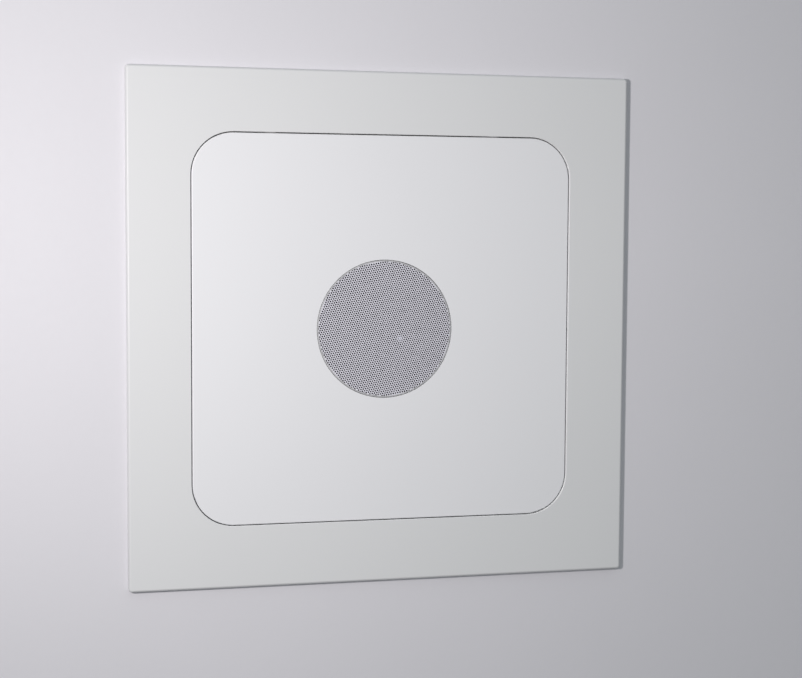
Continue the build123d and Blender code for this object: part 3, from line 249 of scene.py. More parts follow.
key_lamp = soft_lamp("key_lamp", KEY_PLACE, KEY_SIZE, KEY_POWER, KEY_AIM)
key_lamp.data.spread = KEY_BEAM
key_lamp.data.color = KEY_TINT
soft_lamp("back_lamp", BACK_PLACE, BACK_SIZE, BACK_POWER)
print("key lamp stands", round(KEY_PLACE.length, 2), "m from the chime")

# %% Sky
SKY_ABOVE = 0.55
SKY_BELOW = 0.04
SKY_TINT = (0.95, 1.02, 1.03, 1.0)
BACKDROP_LEVEL = 0.78
BACKDROP_TINT = (0.98, 0.98, 1.0, 1.0)

world = bpy.data.worlds.new("sky")
scene.world = world
world.use_nodes = True
sky = world.node_tree
sky.nodes.clear()
ray = put(sky, "LightPath")
mirror_rays = maths(sky, "MAXIMUM", ray.outputs["Is Glossy Ray"], ray.outputs["Is Transmission Ray"])
seen_rays = maths(sky, "MAXIMUM", ray.outputs["Is Camera Ray"], mirror_rays)
direction = put(sky, "TexCoord").outputs["Generated"]
upward = put(sky, "SeparateXYZ", Vector=direction).outputs["Z"]
sky_level = stretch(sky, upward, -1.0, 1.0, SKY_BELOW, SKY_ABOVE)
fill = put(sky, "Background", Color=SKY_TINT, Strength=sky_level)
pale = put(sky, "Background", Color=BACKDROP_TINT, Strength=BACKDROP_LEVEL)
either = put(sky, "MixShader", Fac=seen_rays)
sky.links.new(fill.outputs[0], either.inputs[1])
sky.links.new(pale.outputs[0], either.inputs[2])
sky.links.new(either.outputs[0], put(sky, "OutputWorld").inputs["Surface"])
print("sky goes from", SKY_BELOW, "below to", SKY_ABOVE, "above")

# %% [markdown]
# ## Shared effects: grain, dust, painted shade and wear
# A moulded or powder-coated surface is never one flat colour. It has a fine skin that scatters light,
# patches that are a little lighter or darker, dust in its corners and a slight polish on its edges. The
# corner mask is painted shade as well as dust: it darkens a surface where ambient occlusion finds it
# closed in. Many finishes need these, so each is built once as a node group with named inputs. A group
# only hands out colours, masks and heights; the shader that uses them stays in the material.

# %% Group builder
PALE = (0.8, 0.8, 0.8, 1.0)


def effect(name, inputs, outputs):
    """An empty node group with named sockets, with its input and output nodes."""
    group = bpy.data.node_groups.new(name, "ShaderNodeTree")
    for label, start in inputs.items():
        kind = "NodeSocketColor" if isinstance(start, tuple) else "NodeSocketFloat"
        group.interface.new_socket(label, in_out="INPUT", socket_type=kind).default_value = start
    for label in outputs:
        kind = "NodeSocketColor" if label == "Colour" else "NodeSocketFloat"
        group.interface.new_socket(label, in_out="OUTPUT", socket_type=kind)
    return group, group.nodes.new("NodeGroupInput").outputs, group.nodes.new("NodeGroupOutput").inputs


def use(tree, group, **inputs):
    """Places a node group in a material with its own values."""
    return put(tree, "Group", {"node_tree": group}, **inputs).outputs


print("effects start from", PALE[:3])

# %% Moulded skin
PATCHES_PER_METRE = 18.0
NOISE_LOW = 0.3
NOISE_MIDDLE = 0.5
NOISE_HIGH = 0.7
GLOSS_SWAY = 0.05

tree, given, made = effect(
    "moulded_skin",
    {"Colour": PALE, "Grains": 1500.0, "Mottle": 0.03, "Roughness": 0.5},
    ("Colour", "Roughness", "Height"),
)
moulded_skin = tree
here = place_in_object(tree)
grain = noise(tree, here, given["Grains"], detail=2.0)
patch = noise(tree, here, PATCHES_PER_METRE, detail=3.0)
off_middle = maths(tree, "SUBTRACT", patch, NOISE_MIDDLE)
sway = maths(tree, "MULTIPLY", off_middle, given["Mottle"])
level = maths(tree, "ADD", 1.0, maths(tree, "MULTIPLY", sway, 2.0))
gloss_sway = stretch(tree, grain, NOISE_LOW, NOISE_HIGH, -GLOSS_SWAY, GLOSS_SWAY)
feed(tree, made["Colour"], mix_colours(tree, 1.0, given["Colour"], level, "MULTIPLY"))
feed(tree, made["Roughness"], maths(tree, "ADD", given["Roughness"], gloss_sway))
feed(tree, made["Height"], grain)
print("moulded skin has", len(tree.nodes), "nodes")

# %% Corner dust and painted shade
SPECKS_PER_METRE = 420.0
LEAST_SPECK = 0.55
CORNER_OPENNESS = 0.35
FACE_OPENNESS = 0.95

tree, given, made = effect("corner_dust_and_shade", {"Reach": 0.002, "Amount": 0.3}, ("Mask",))
corner_dust_and_shade = tree
# Dust and painted shade: the mask grows where ambient occlusion finds the surface closed in.
hollow = put(tree, "AmbientOcclusion", {"samples": 4}, Distance=given["Reach"])
speck = noise(tree, place_in_object(tree), SPECKS_PER_METRE, detail=4.0)
closed = stretch(tree, hollow.outputs["AO"], CORNER_OPENNESS, FACE_OPENNESS, 1.0, 0.0)
uneven = stretch(tree, speck, NOISE_LOW, NOISE_HIGH, LEAST_SPECK, 1.0)
dust_and_shade = maths(tree, "MULTIPLY", closed, uneven)
feed(tree, made["Mask"], maths(tree, "MULTIPLY", dust_and_shade, given["Amount"]))
print("corner dust has", len(tree.nodes), "nodes")

# %% Edge wear
RUBS_PER_METRE = 300.0
LEAST_RUB = 0.2
RUB_LOW = 0.4
RUB_HIGH = 0.6
EDGE_AGREEMENT = 0.80
FLAT_AGREEMENT = 0.99

tree, given, made = effect("edge_wear", {"Width": 0.0004, "Amount": 0.3}, ("Mask",))
edge_wear = tree
rounded = put(tree, "Bevel", {"samples": 4}, Radius=given["Width"]).outputs[0]
flat = put(tree, "NewGeometry").outputs["Normal"]
agreement = measure(tree, "DOT_PRODUCT", rounded, flat)
bent = stretch(tree, agreement, EDGE_AGREEMENT, FLAT_AGREEMENT, 1.0, 0.0)
rub = noise(tree, place_in_object(tree), RUBS_PER_METRE, detail=3.0)
rubbed = stretch(tree, rub, RUB_LOW, RUB_HIGH, LEAST_RUB, 1.0)
worn_away = maths(tree, "MULTIPLY", bent, rubbed)
feed(tree, made["Mask"], maths(tree, "MULTIPLY", worn_away, given["Amount"]))
print("edge wear has", len(tree.nodes), "nodes")

# %% [markdown]
# ## Shared effects: drawn lines and threads
# Metal that was pulled through a die keeps fine lines along the pull, and its plating stains in clouds.
# Cloth and pressed paper show threads that cross. Lines could be modelled one by one, but there are
# thousands, so they are noise and waves in the surface: a noise that is squeezed along one direction
# turns into lines, and the larger of two waves, one across the other, looks woven.

# %% Drawn metal
DRAWN_SQUEEZE = (1.0, 0.04, 1.0)
CLOUDS_PER_METRE = 160.0
STAIN_LOW = 0.45
STAIN_HIGH = 0.75
MOST_STAIN = 0.6
LINE_SMOOTHER = -0.08
LINE_ROUGHER = 0.12

tree, given, made = effect(
    "drawn_metal",
    {"Colour": PALE, "Tarnish": (0.3, 0.3, 0.3, 1.0), "Lines": 4000.0, "Roughness": 0.35},
    ("Colour", "Roughness", "Height"),
)
drawn_metal = tree
here = place_in_object(tree)
squeezed = put(tree, "Mapping", Vector=here, Scale=DRAWN_SQUEEZE).outputs[0]
line = noise(tree, squeezed, given["Lines"], detail=2.0)
cloud = noise(tree, here, CLOUDS_PER_METRE, detail=4.0)
stain = stretch(tree, cloud, STAIN_LOW, STAIN_HIGH, 0.0, MOST_STAIN)
rougher = stretch(tree, line, NOISE_LOW, NOISE_HIGH, LINE_SMOOTHER, LINE_ROUGHER)
feed(tree, made["Colour"], mix_colours(tree, stain, given["Colour"], given["Tarnish"]))
feed(tree, made["Roughness"], maths(tree, "ADD", given["Roughness"], rougher))
feed(tree, made["Height"], line)
print("drawn metal has", len(tree.nodes), "nodes")

# %% Fibres
THREAD_WANDER = 1.5

tree, given, made = effect(
    "fibres", {"Colour": PALE, "Threads": 4000.0, "Contrast": 0.4}, ("Colour", "Height")
)
fibres = tree
waves = {"Vector": place_in_object(tree), "Scale": given["Threads"], "Distortion": THREAD_WANDER}
warp = put(tree, "TexWave", {"bands_direction": "X"}, **waves).outputs["Fac"]
weft = put(tree, "TexWave", {"bands_direction": "Z"}, **waves).outputs["Fac"]
cloth = maths(tree, "MAXIMUM", warp, weft)
between = maths(tree, "MULTIPLY", given["Contrast"], maths(tree, "SUBTRACT", 1.0, cloth))
depth = maths(tree, "SUBTRACT", 1.0, between)
feed(tree, made["Colour"], mix_colours(tree, 1.0, given["Colour"], depth, "MULTIPLY"))
feed(tree, made["Height"], cloth)
print("fibres have", len(tree.nodes), "nodes")

# %% [markdown]
# ## The wall behind
# The chime is let into a painted plasterboard wall. The wall is no part of the object, so it is stage:
# a large flat sheet with the square hole that the box goes through. A fine grey line of painted shade runs
# along the trim, where the wall meets it. From behind it should not hide the box, so its material is clear
# where the sheet is seen from its back. It stands a hair in front of the trim's back face, because two
# faces in one place fight over which is seen.

# %% Wall sheet
WALL_WIDTH = 4.0
CUTOUT_WIDTH = 199 * MM
WALL_FACE = -0.05 * MM

wall_mesh = bpy.data.meshes.new("wall")
square = [(1, 1), (1, -1), (-1, -1), (-1, 1)]
rim = []
for half in (WALL_WIDTH / 2, CUTOUT_WIDTH / 2):
    rim += [(sx * half, WALL_FACE, sz * half) for sx, sz in square]
sides = [(i + 4, (i + 1) % 4 + 4, (i + 1) % 4, i) for i in range(4)]
wall_mesh.from_pydata(rim, [], sides)
wall = add_object("wall", wall_mesh)
wall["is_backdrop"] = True
print("wall faces the room:", wall_mesh.polygons[0].normal.y < 0)

# %% Wall paint
WALL_PAINT = (0.762, 0.750, 0.795, 1.0)
# The colour of the painted shade along the trim's edge.
WALL_CONTACT_SHADE = (0.30, 0.29, 0.29, 1.0)
CONTACT_SHADE_REACH = 0.6 * MM
ROLLER_MICRONS = 60


def dusted_and_shaded(tree, colour, dust, reach, amount):
    """The colour darkened in its corners: by dust on some finishes, by painted shade on others."""
    corners = use(tree, corner_dust_and_shade, Reach=reach, Amount=amount)
    return mix_colours(tree, corners["Mask"], colour, dust)


def coat(tree, shader, colour, skin, microns):
    """Leads a colour, and the roughness and the grain of a skin, to the shader."""
    tree.links.new(colour, shader.inputs["Base Color"])
    tree.links.new(skin["Roughness"], shader.inputs["Roughness"])
    raise_bumps(tree, shader, skin["Height"], microns)


tree, shader = new_finish("wall_paint")
skin = use(tree, moulded_skin, Colour=WALL_PAINT, Grains=260.0, Mottle=0.012, Roughness=0.6)
# Painted shade: a thin dark line on the wall along the trim, where ambient occlusion finds it closed in.
surface = dusted_and_shaded(tree, skin["Colour"], WALL_CONTACT_SHADE, CONTACT_SHADE_REACH, amount=0.25)
coat(tree, shader, surface, skin, ROLLER_MICRONS)
from_behind = put(tree, "NewGeometry").outputs["Backfacing"]
clear = put(tree, "BsdfTransparent")
one_sided = put(tree, "MixShader", Fac=from_behind)
tree.links.new(shader.outputs[0], one_sided.inputs[1])
tree.links.new(clear.outputs[0], one_sided.inputs[2])
tree.links.new(one_sided.outputs[0], tree.nodes["Material Output"].inputs["Surface"])
wall_mesh.materials.append(finishes["wall_paint"])
print("wall paint has", len(tree.nodes), "nodes")

# %% [markdown]
# ## Painted and moulded finishes
# Most of the chime is white or dark moulding: the trim's powder coat, the unit's satin face, the grey
# box, the black wings. They differ in colour, grain and sheen, not in kind, so one function makes them
# all from the shared effects. Dust and painted shade darken the corners and wear lightens the edges, each
# by a little. In the grille's holes the corner mask lays a near-black painted shade in dust's place.

# %% Moulded finishes
DUST_COLOUR = (0.33, 0.32, 0.31, 1.0)
RUBBED_COLOUR = (0.72, 0.72, 0.72, 1.0)
# Painted shade for the inside of the grille's holes.
HOLE_SHADE = (0.03, 0.03, 0.035, 1.0)
DUST_REACH = 1.6 * MM
WEAR_WIDTH = 0.5 * MM


def moulded(
    slot, colour, roughness, grains, microns, mottle, dust=0.25, wear=0.0, dark=DUST_COLOUR, **sockets
):
    """A plastic or powder-coated surface: its grain, dust and painted shade in its corners, worn edges."""
    tree, shader = new_finish(slot, **sockets)
    skin = use(tree, moulded_skin, Colour=(*colour, 1.0), Grains=grains, Mottle=mottle, Roughness=roughness)
    surface = dusted_and_shaded(tree, skin["Colour"], dark, DUST_REACH, dust)
    if wear:
        worn = use(tree, edge_wear, Width=WEAR_WIDTH, Amount=wear)
        surface = mix_colours(tree, worn["Mask"], surface, RUBBED_COLOUR)
    coat(tree, shader, surface, skin, microns)


# Each row: the slot, its colour, its roughness, its grains per metre, their height in microns and how
# far its patches are lighter or darker.
moulded("trim_white", (0.771, 0.776, 0.791), 0.42, 900.0, 4, 0.008, dust=0.12)
moulded("unit_white", (0.850, 0.852, 0.882), 0.48, 2600.0, 4, 0.008, dust=0.10)
# The grille's corner mask, at full strength, lays painted shade in its holes.
moulded("grille_white", (0.905, 0.895, 0.99), 0.45, 2200.0, 3, 0.02, dust=1.0, dark=HOLE_SHADE)
moulded("box_grey", (0.62, 0.63, 0.64), 0.55, 1400.0, 20, 0.05, wear=0.12)
moulded("wing_black", (0.055, 0.055, 0.06), 0.50, 1200.0, 30, 0.15, wear=0.10)
moulded("socket_black", (0.04, 0.04, 0.045), 0.40, 1800.0, 10, 0.10, wear=0.05)
moulded("button_grey", (0.22, 0.22, 0.23), 0.45, 2000.0, 8, 0.06, wear=0.08)
moulded("black_rubber", (0.035, 0.035, 0.037), 0.78, 900.0, 30, 0.2, dust=0.35)
moulded("foam_black", (0.05, 0.05, 0.052), 0.95, 1500.0, 120, 0.25)
moulded("ferrite", (0.07, 0.07, 0.075), 0.62, 2400.0, 30, 0.25, wear=0.10)
moulded("lamp_white", (0.88, 0.85, 0.62), 0.25, 3000.0, 4, 0.03, dust=0.1)
moulded("diffuser", (0.86, 0.86, 0.87), 0.35, 2600.0, 4, 0.02, Subsurface_Weight=0.3)
moulded("connector_cream", (0.74, 0.70, 0.58), 0.45, 2200.0, 6, 0.04)
moulded("lead_sleeve", (0.10, 0.10, 0.105), 0.42, 700.0, 10, 0.10)
print("finishes so far:", len(finishes))

# %% [markdown]
# ## Painted shade on the rims, painted light in the opening
# A narrow grey line runs round the grille. It is painted shade: the grille's rim lies a little below the
# face of the unit, beside a dark gap, and its grey stands for the shade there. The rounded outer edge of
# the trim is greyer than its face too: painted shade that tones down the light which the edge catches.
# Both could be pieces of their own, but each is one pressing with the face beside it. So the paint's
# colour is changed instead, by the place on the surface: by the distance from the middle on the round
# grille, and by the larger of two distances on the square trim. The wall of the trim's opening is the
# other way round: its paler white is painted light, so that the gap beside the unit looks lit where it
# faces the lamp.

# %% Rims of the grille and the trim
RIM_START = 29.3 * MM
RIM_BLEND = 0.4 * MM
RIM_PAINTED_SHADE = (0.50, 0.50, 0.52, 1.0)
EDGE_START = 110.9 * MM
EDGE_BLEND = 0.7 * MM
EDGE_PAINTED_SHADE = (0.64, 0.645, 0.66, 1.0)
OPENING_START = -2.9 * MM
OPENING_REACH = 100.0 * MM
OPENING_BLEND = 0.2 * MM
OPENING_PAINTED_LIGHT = (0.96, 0.96, 0.97, 1.0)


def paint_over(tree, mask, colour):
    """Lays a colour over what the shader's Base Color had before, where the mask is 1."""
    paint_input = tree.nodes["Principled BSDF"].inputs["Base Color"]
    painted = paint_input.links[0].from_socket
    tree.links.new(mix_colours(tree, mask, painted, colour), paint_input)


tree = finishes["grille_white"].node_tree
distance, _ = from_axis(tree)
# Painted shade: the grille's rim is grey where it lies below the unit's face.
paint_over(tree, stretch(tree, distance, RIM_START, RIM_START + RIM_BLEND), RIM_PAINTED_SHADE)

tree = finishes["trim_white"].node_tree
across = put(tree, "SeparateXYZ", Vector=place_in_object(tree)).outputs
to_side = maths(tree, "ABSOLUTE", across["X"])
to_end = maths(tree, "ABSOLUTE", across["Z"])
reach = maths(tree, "MAXIMUM", to_side, to_end)
# Painted shade: the trim's rounded outer edge is greyer, toning down the light it catches.
paint_over(tree, stretch(tree, reach, EDGE_START, EDGE_START + EDGE_BLEND), EDGE_PAINTED_SHADE)
# Painted light: the wall of the trim's opening is paler, so the gap beside the unit looks lit.
sunk = stretch(tree, across["Y"], OPENING_START, OPENING_START + OPENING_BLEND)
inner = stretch(tree, reach, OPENING_REACH, OPENING_REACH - OPENING_BLEND)
paint_over(tree, maths(tree, "MULTIPLY", sunk, inner), OPENING_PAINTED_LIGHT)
print("the grille is grey from", round(RIM_START / MM, 1), "mm")
print("the trim is grey from", round(EDGE_START / MM, 1), "mm")

# %% [markdown]
# ## Metals
# Screws, plates, magnets and shield cans are thin sheet or turned bar with a plated skin. Plating keeps
# the fine lines of the drawn metal under it and stains in clouds. The lines run along the depth of the
# chime, which is the way the screws and pins were drawn.

# %% Metal finishes
GRIME_COLOUR = (0.12, 0.11, 0.10, 1.0)
GRIME_REACH = 0.8 * MM


def plated(slot, colour, tarnish, roughness, lines=4000.0, microns=6):
    """A plated metal with drawn lines and a cloudy tarnish."""
    tree, shader = new_finish(slot, Metallic=1.0)
    skin = use(
        tree, drawn_metal, Colour=(*colour, 1.0), Tarnish=(*tarnish, 1.0), Lines=lines, Roughness=roughness
    )
    surface = dusted_and_shaded(tree, skin["Colour"], GRIME_COLOUR, GRIME_REACH, amount=0.35)
    coat(tree, shader, surface, skin, microns)


# Each row: the slot, its colour, its tarnish and its roughness.
plated("zinc_steel", (0.70, 0.71, 0.73), (0.52, 0.52, 0.50), 0.34)
plated("dark_steel", (0.30, 0.30, 0.31), (0.16, 0.16, 0.16), 0.38)
plated("magnet_nickel", (0.68, 0.66, 0.62), (0.50, 0.47, 0.42), 0.18, lines=6000.0, microns=2)
plated("can_tin", (0.68, 0.69, 0.70), (0.55, 0.55, 0.54), 0.30, lines=5000.0)
plated("copper", (0.72, 0.38, 0.20), (0.42, 0.18, 0.08), 0.32, lines=9000.0, microns=20)
print("finishes so far:", len(finishes))

# %% [markdown]
# ## Cloth and paper
# The loudspeaker's cone is pressed paper and its spider is resin-dipped cloth. Behind the grille lies a
# woven acoustic cloth, and it is what the eye meets through the holes. It is thin: the ring that spreads
# the lamps' light shows through it as a faint darker band. The pale rim round that band is a painted
# highlight, where light catches the ring's edge, and a small bright spot to the lower right is painted
# light that the cloth gives off itself, standing for a status lamp behind it. The band and rim are painted
# by distance from the middle, the spot by distance from its own point.

# %% Paper
def fibrous(slot, colour, threads, contrast, roughness, microns):
    """Paper or cloth with its threads."""
    tree, shader = new_finish(slot, Roughness=roughness, Sheen_Weight=0.2)
    weave = use(tree, fibres, Colour=(*colour, 1.0), Threads=threads, Contrast=contrast)
    tree.links.new(weave["Colour"], shader.inputs["Base Color"])
    raise_bumps(tree, shader, weave["Height"], microns)
    return tree, shader, weave


fibrous("cone_paper", (0.06, 0.06, 0.065), 900.0, 0.5, 0.85, 30)
print("finishes so far:", len(finishes))

# %% Acoustic cloth
RING_INNER = 12.0 * MM
RING_OUTER = 20.0 * MM
RING_EDGE = 1.2 * MM
RING_SHADE = (0.03, 0.03, 0.035, 1.0)
RING_SHARE = 0.6
PAINTED_RIM_HIGHLIGHT = (0.9, 0.9, 0.92, 1.0)
HIGHLIGHT_SHARE = 0.25
SPOT_PLACE = Vector((7.0 * MM, 0.0, -4.3 * MM))
SPOT_RADIUS = 1.6 * MM
PAINTED_SPOT_GLOW = (0.50, 0.52, 0.62, 1.0)
NO_GLOW = (0.0, 0.0, 0.0, 1.0)

tree, shader, weave = fibrous("mesh_grey", (0.06, 0.06, 0.07), 2600.0, 0.35, 0.8, 40)
distance, flat_place = from_axis(tree)
past_inner = stretch(tree, distance, RING_INNER - RING_EDGE, RING_INNER)
past_outer = stretch(tree, distance, RING_OUTER - RING_EDGE, RING_OUTER)
on_ring = maths(tree, "SUBTRACT", past_inner, past_outer)
# Painted highlight: a pale band on the ring's rim, where light catches its edge.
beyond_rim = stretch(tree, distance, RING_OUTER, RING_OUTER + RING_EDGE)
on_rim = maths(tree, "SUBTRACT", past_outer, beyond_rim)
ring_share = maths(tree, "MULTIPLY", on_ring, RING_SHARE)
ringed = mix_colours(tree, ring_share, weave["Colour"], RING_SHADE)
highlight_share = maths(tree, "MULTIPLY", on_rim, HIGHLIGHT_SHARE)
highlighted = mix_colours(tree, highlight_share, ringed, PAINTED_RIM_HIGHLIGHT)
tree.links.new(highlighted, shader.inputs["Base Color"])
# Painted light: the cloth itself gives off light in a small spot, standing for a status lamp behind it.
from_spot = measure(tree, "DISTANCE", flat_place, SPOT_PLACE)
spot = stretch(tree, from_spot, 0.0, SPOT_RADIUS, 1.0, 0.0)
glow = mix_colours(tree, spot, NO_GLOW, PAINTED_SPOT_GLOW)
tree.links.new(glow, shader.inputs["Emission Color"])
shader.inputs["Emission Strength"].default_value = 1.0
print("acoustic cloth has", len(tree.nodes), "nodes")

# %% [markdown]
# ## Boards, battery and antennas
# A circuit board is a glossy lacquer over copper tracks, so its green is streaked by straight lines that
# turn at right angles. A brick texture with long thin bricks makes such lines. The battery cells wear a
# shrunk sleeve, glossy and slightly wrinkled, and the antennas are copper lines under an amber film.

# %% Tracks
tree, given, made = effect(
    "copper_tracks", {"Lacquer": PALE, "Copper": PALE, "Tracks": 220.0}, ("Colour", "Height")
)
copper_tracks = tree
here = put(tree, "SeparateXYZ", Vector=place_in_object(tree)).outputs
upright = put(tree, "CombineXYZ", X=here["X"], Y=here["Z"]).outputs[0]
track = put(
    tree,
    "TexBrick",
    {"offset": 0.37, "squash": 0.6, "squash_frequency": 3},
    Vector=upright,
    Scale=given["Tracks"],
    Mortar_Size=0.035,
    Brick_Width=2.6,
    Row_Height=0.35,
).outputs["Fac"]
feed(tree, made["Colour"], mix_colours(tree, track, given["Lacquer"], given["Copper"]))
feed(tree, made["Height"], track)
print("copper tracks have", len(tree.nodes), "nodes")

# %% Boards
BOARD_DUST = 1.5 * MM
TRACK_MICRONS = 30


def board(slot, lacquer, copper, tracks, roughness=0.3):
    """A lacquered board or film with copper lines under it."""
    tree, shader = new_finish(slot, Roughness=roughness, Coat_Weight=0.4, Coat_Roughness=0.15)
    lines = use(tree, copper_tracks, Lacquer=(*lacquer, 1.0), Copper=(*copper, 1.0), Tracks=tracks)
    surface = dusted_and_shaded(tree, lines["Colour"], DUST_COLOUR, BOARD_DUST, amount=0.3)
    tree.links.new(surface, shader.inputs["Base Color"])
    raise_bumps(tree, shader, lines["Height"], TRACK_MICRONS)


# Each row: the slot, its lacquer, its copper as seen through it, and the tracks per metre.
board("board_green", (0.02, 0.14, 0.07), (0.05, 0.26, 0.13), 220.0)
board("board_white", (0.80, 0.80, 0.78), (0.70, 0.70, 0.66), 200.0)
board("antenna_film", (0.42, 0.23, 0.06), (0.72, 0.42, 0.22), 90.0)
print("finishes so far:", len(finishes))

# %% Battery sleeve
SLEEVE_BLUE = (0.05, 0.16, 0.36, 1.0)
SLEEVE_DUST = 2.0 * MM
SLEEVE_MICRONS = 120

tree, shader = new_finish("cell_blue", Coat_Weight=0.5, Coat_Roughness=0.08)
skin = use(tree, moulded_skin, Colour=SLEEVE_BLUE, Grains=90.0, Mottle=0.12, Roughness=0.3)
surface = dusted_and_shaded(tree, skin["Colour"], DUST_COLOUR, SLEEVE_DUST, amount=0.3)
coat(tree, shader, surface, skin, SLEEVE_MICRONS)
print("finishes in all:", len(finishes))

# %% [markdown]
# ## Dressing the solids
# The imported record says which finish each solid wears. The flat colour that came with the frame is
# taken off and the finish of that name is put on.

# %% Give each solid its finish
slot_of = {row["node"]: row["material_slot"] for row in frame["record"]["subparts"]}
for name, solid in frame["nodes"].items():
    solid.data.materials.clear()
    solid.data.materials.append(finishes[slot_of[name]])
print("dressed solids:", len(frame["nodes"]))
print("finishes that no solid wears:", sorted(set(finishes) - set(slot_of.values())))

# %% [markdown]
# ## The perforated grille
# The real grille has some three thousand fine holes in slanting rows, a millimetre apart. A picture of
# holes on a flat disc would do from afar, but it would have no depth. The solid carries coarse holes, so
# a mesh takes its place here. Each hole sits in its own six-sided tile, and the tiles share their
# corners. The rim cuts through the holes that it meets, so their points are drawn back to it. The space
# between the tiles, those cut holes and the rim is then filled, front and back, and the two faces are
# joined through every hole and round the rim.

# %% Grille sizes
grille_low, grille_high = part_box("speaker_grille")
FRONT = grille_low.y
FLANGE_RADIUS = grille_high.x
FLANGE_BACK = grille_high.y
HOLE_PITCH = 1.04 * MM
HOLE_RADIUS = 0.405 * MM
HOLE_SIDES = 12
TILE_SIDES = 6
ROW_ANGLE = math.radians(10)
FIRST_CORNER = ROW_ANGLE + math.pi / 6
SHEET = 1.0 * MM
FLANGE = 1.0 * MM
RIM_RADIUS = 30.2 * MM
CUP_RADIUS = 29.7 * MM
RIM_ROUND = 0.25 * MM
ROUND_STEPS = 192
TILE_CORNER = HOLE_PITCH / math.sqrt(3)
HOLE_REACH = CUP_RADIUS - 0.08 * MM
LEAST_CUT = 0.3 * MM


def hole_centres(reach):
    """Middles of the holes: a triangular lattice, turned so that its rows slant."""
    count = int(2 * reach / HOLE_PITCH)
    turn = Matrix.Rotation(ROW_ANGLE, 2)
    steps = range(-count, count + 1)
    row = HOLE_PITCH * math.sqrt(3) / 2
    lattice = [Vector(((i + j / 2) * HOLE_PITCH, j * row)) for i in steps for j in steps]
    return [turn @ point for point in lattice if point.length < reach]


whole_reach = HOLE_REACH - TILE_CORNER
holes = hole_centres(whole_reach)
cut_reach = HOLE_REACH + HOLE_RADIUS - LEAST_CUT
cut_holes = [middle for middle in hole_centres(cut_reach) if middle.length >= whole_reach]
print("whole holes in the grille:", len(holes), "at the rim:", len(cut_holes))

# %% Rings of points
def add_point(bm, middle, radius, angle, y):
    """A point at an angle round a middle."""
    x = middle[0] + radius * math.cos(angle)
    z = middle[1] + radius * math.sin(angle)
    return bm.verts.new((x, y, z))


def circle(bm, radius, y, steps=ROUND_STEPS, middle=(0.0, 0.0)):
    """A ring of points about an axis that runs along Y."""
    return [add_point(bm, middle, radius, 2 * math.pi * k / steps, y) for k in range(steps)]


def join_rings(bm, first, second):
    """A band of faces between two rings of as many points, or between a ring and a single point."""
    count = max(len(first), len(second))
    for k in range(count):
        after = (k + 1) % count
        lower = [first[k % len(first)], first[after % len(first)]]
        upper = [second[after % len(second)], second[k % len(second)]]
        bm.faces.new(tuple(dict.fromkeys(lower + upper)))


def join_chain(bm, rings, closed=False):
    """Bands from each ring to the next one, and from the last to the first if it is closed."""
    following = rings[1:] + (rings[:1] if closed else [])
    for first, second in zip(rings, following):
        join_rings(bm, first, second)


def loop_edges(bm, ring):
    """The edges round a ring of points, made where they aren't there yet."""
    pairs = [(ring[k], ring[(k + 1) % len(ring)]) for k in range(len(ring))]
    return [bm.edges.get(pair) or bm.edges.new(pair) for pair in pairs]


print("a large ring has", ROUND_STEPS, "points")

# %% Perforated face
def hole_ring(bm, middle, y):
    """The points round one hole, drawn back to the rim where they pass it."""
    ring = []
    for k in range(HOLE_SIDES):
        angle = FIRST_CORNER + k * 2 * math.pi / HOLE_SIDES
        point = middle + HOLE_RADIUS * Vector((math.cos(angle), math.sin(angle)))
        point *= min(1.0, HOLE_REACH / point.length)
        ring.append(bm.verts.new((point.x, y, point.y)))
    return ring


def perforated_face(bm, y, edge_radius):
    """Tiles with a hole in each, filled out to a round edge. Returns the hole rings and the edge."""
    shared, rings = {}, []
    for middle in holes:
        corners = []
        for k in range(TILE_SIDES):
            angle = FIRST_CORNER + k * math.pi / 3
            x = middle.x + TILE_CORNER * math.cos(angle)
            z = middle.y + TILE_CORNER * math.sin(angle)
            key = (round(x / MICRON), round(z / MICRON))
            near = [(key[0] + i, key[1] + j) for i in (-1, 0, 1) for j in (-1, 0, 1)]
            found = next((shared[n] for n in near if n in shared), None)
            corners.append(found or shared.setdefault(key, bm.verts.new((x, y, z))))
        ring = hole_ring(bm, middle, y)
        for k in range(TILE_SIDES):
            a, b = corners[k], corners[(k + 1) % TILE_SIDES]
            start, mid, end = ring[2 * k], ring[2 * k + 1], ring[(2 * k + 2) % HOLE_SIDES]
            for face in ((a, b, mid), (a, mid, start), (b, end, mid)):
                bm.faces.new(face)
        rings.append(ring)
    inside_holes = {v for ring in rings for v in ring}
    ragged = [e for e in bm.edges if e.is_boundary and not inside_holes.intersection(e.verts)]
    ragged = [e for e in ragged if abs(e.verts[0].co.y - y) < MICRON]
    edge = circle(bm, edge_radius, y)
    around_space = ragged + loop_edges(bm, edge)
    for middle in cut_holes:
        ring = hole_ring(bm, middle, y)
        around_space += loop_edges(bm, ring)
        rings.append(ring)
    bmesh.ops.triangle_fill(bm, edges=around_space, use_beauty=True, normal=(0, -1, 0))
    return rings, edge


print("each tile has", TILE_SIDES, "sides and its hole has", HOLE_SIDES)

# %% [markdown]
# ## From a mesh to a piece
# Points and faces alone are no piece yet. A piece needs faces that look outward, soft shading with crisp
# edges where they bend sharply, the finish of its slot, and a body of the frame to ride on, so that it
# moves when the joints do. One function does all that for every mesh below.

# %% Finish a piece
def finish_piece(bm, name, body, slot, sharp_angle=35):
    """Turns a bmesh into a piece that rides on a body and wears the finish of a slot."""
    bmesh.ops.recalc_face_normals(bm, faces=bm.faces)
    mesh = bpy.data.meshes.new(name)
    bm.to_mesh(mesh)
    bm.free()
    mesh.polygons.foreach_set("use_smooth", [True] * len(mesh.polygons))
    mesh.set_sharp_from_angle(angle=math.radians(sharp_angle))
    mesh.materials.append(finishes[slot])
    piece = add_object(name, mesh)
    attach(piece, body)
    return piece


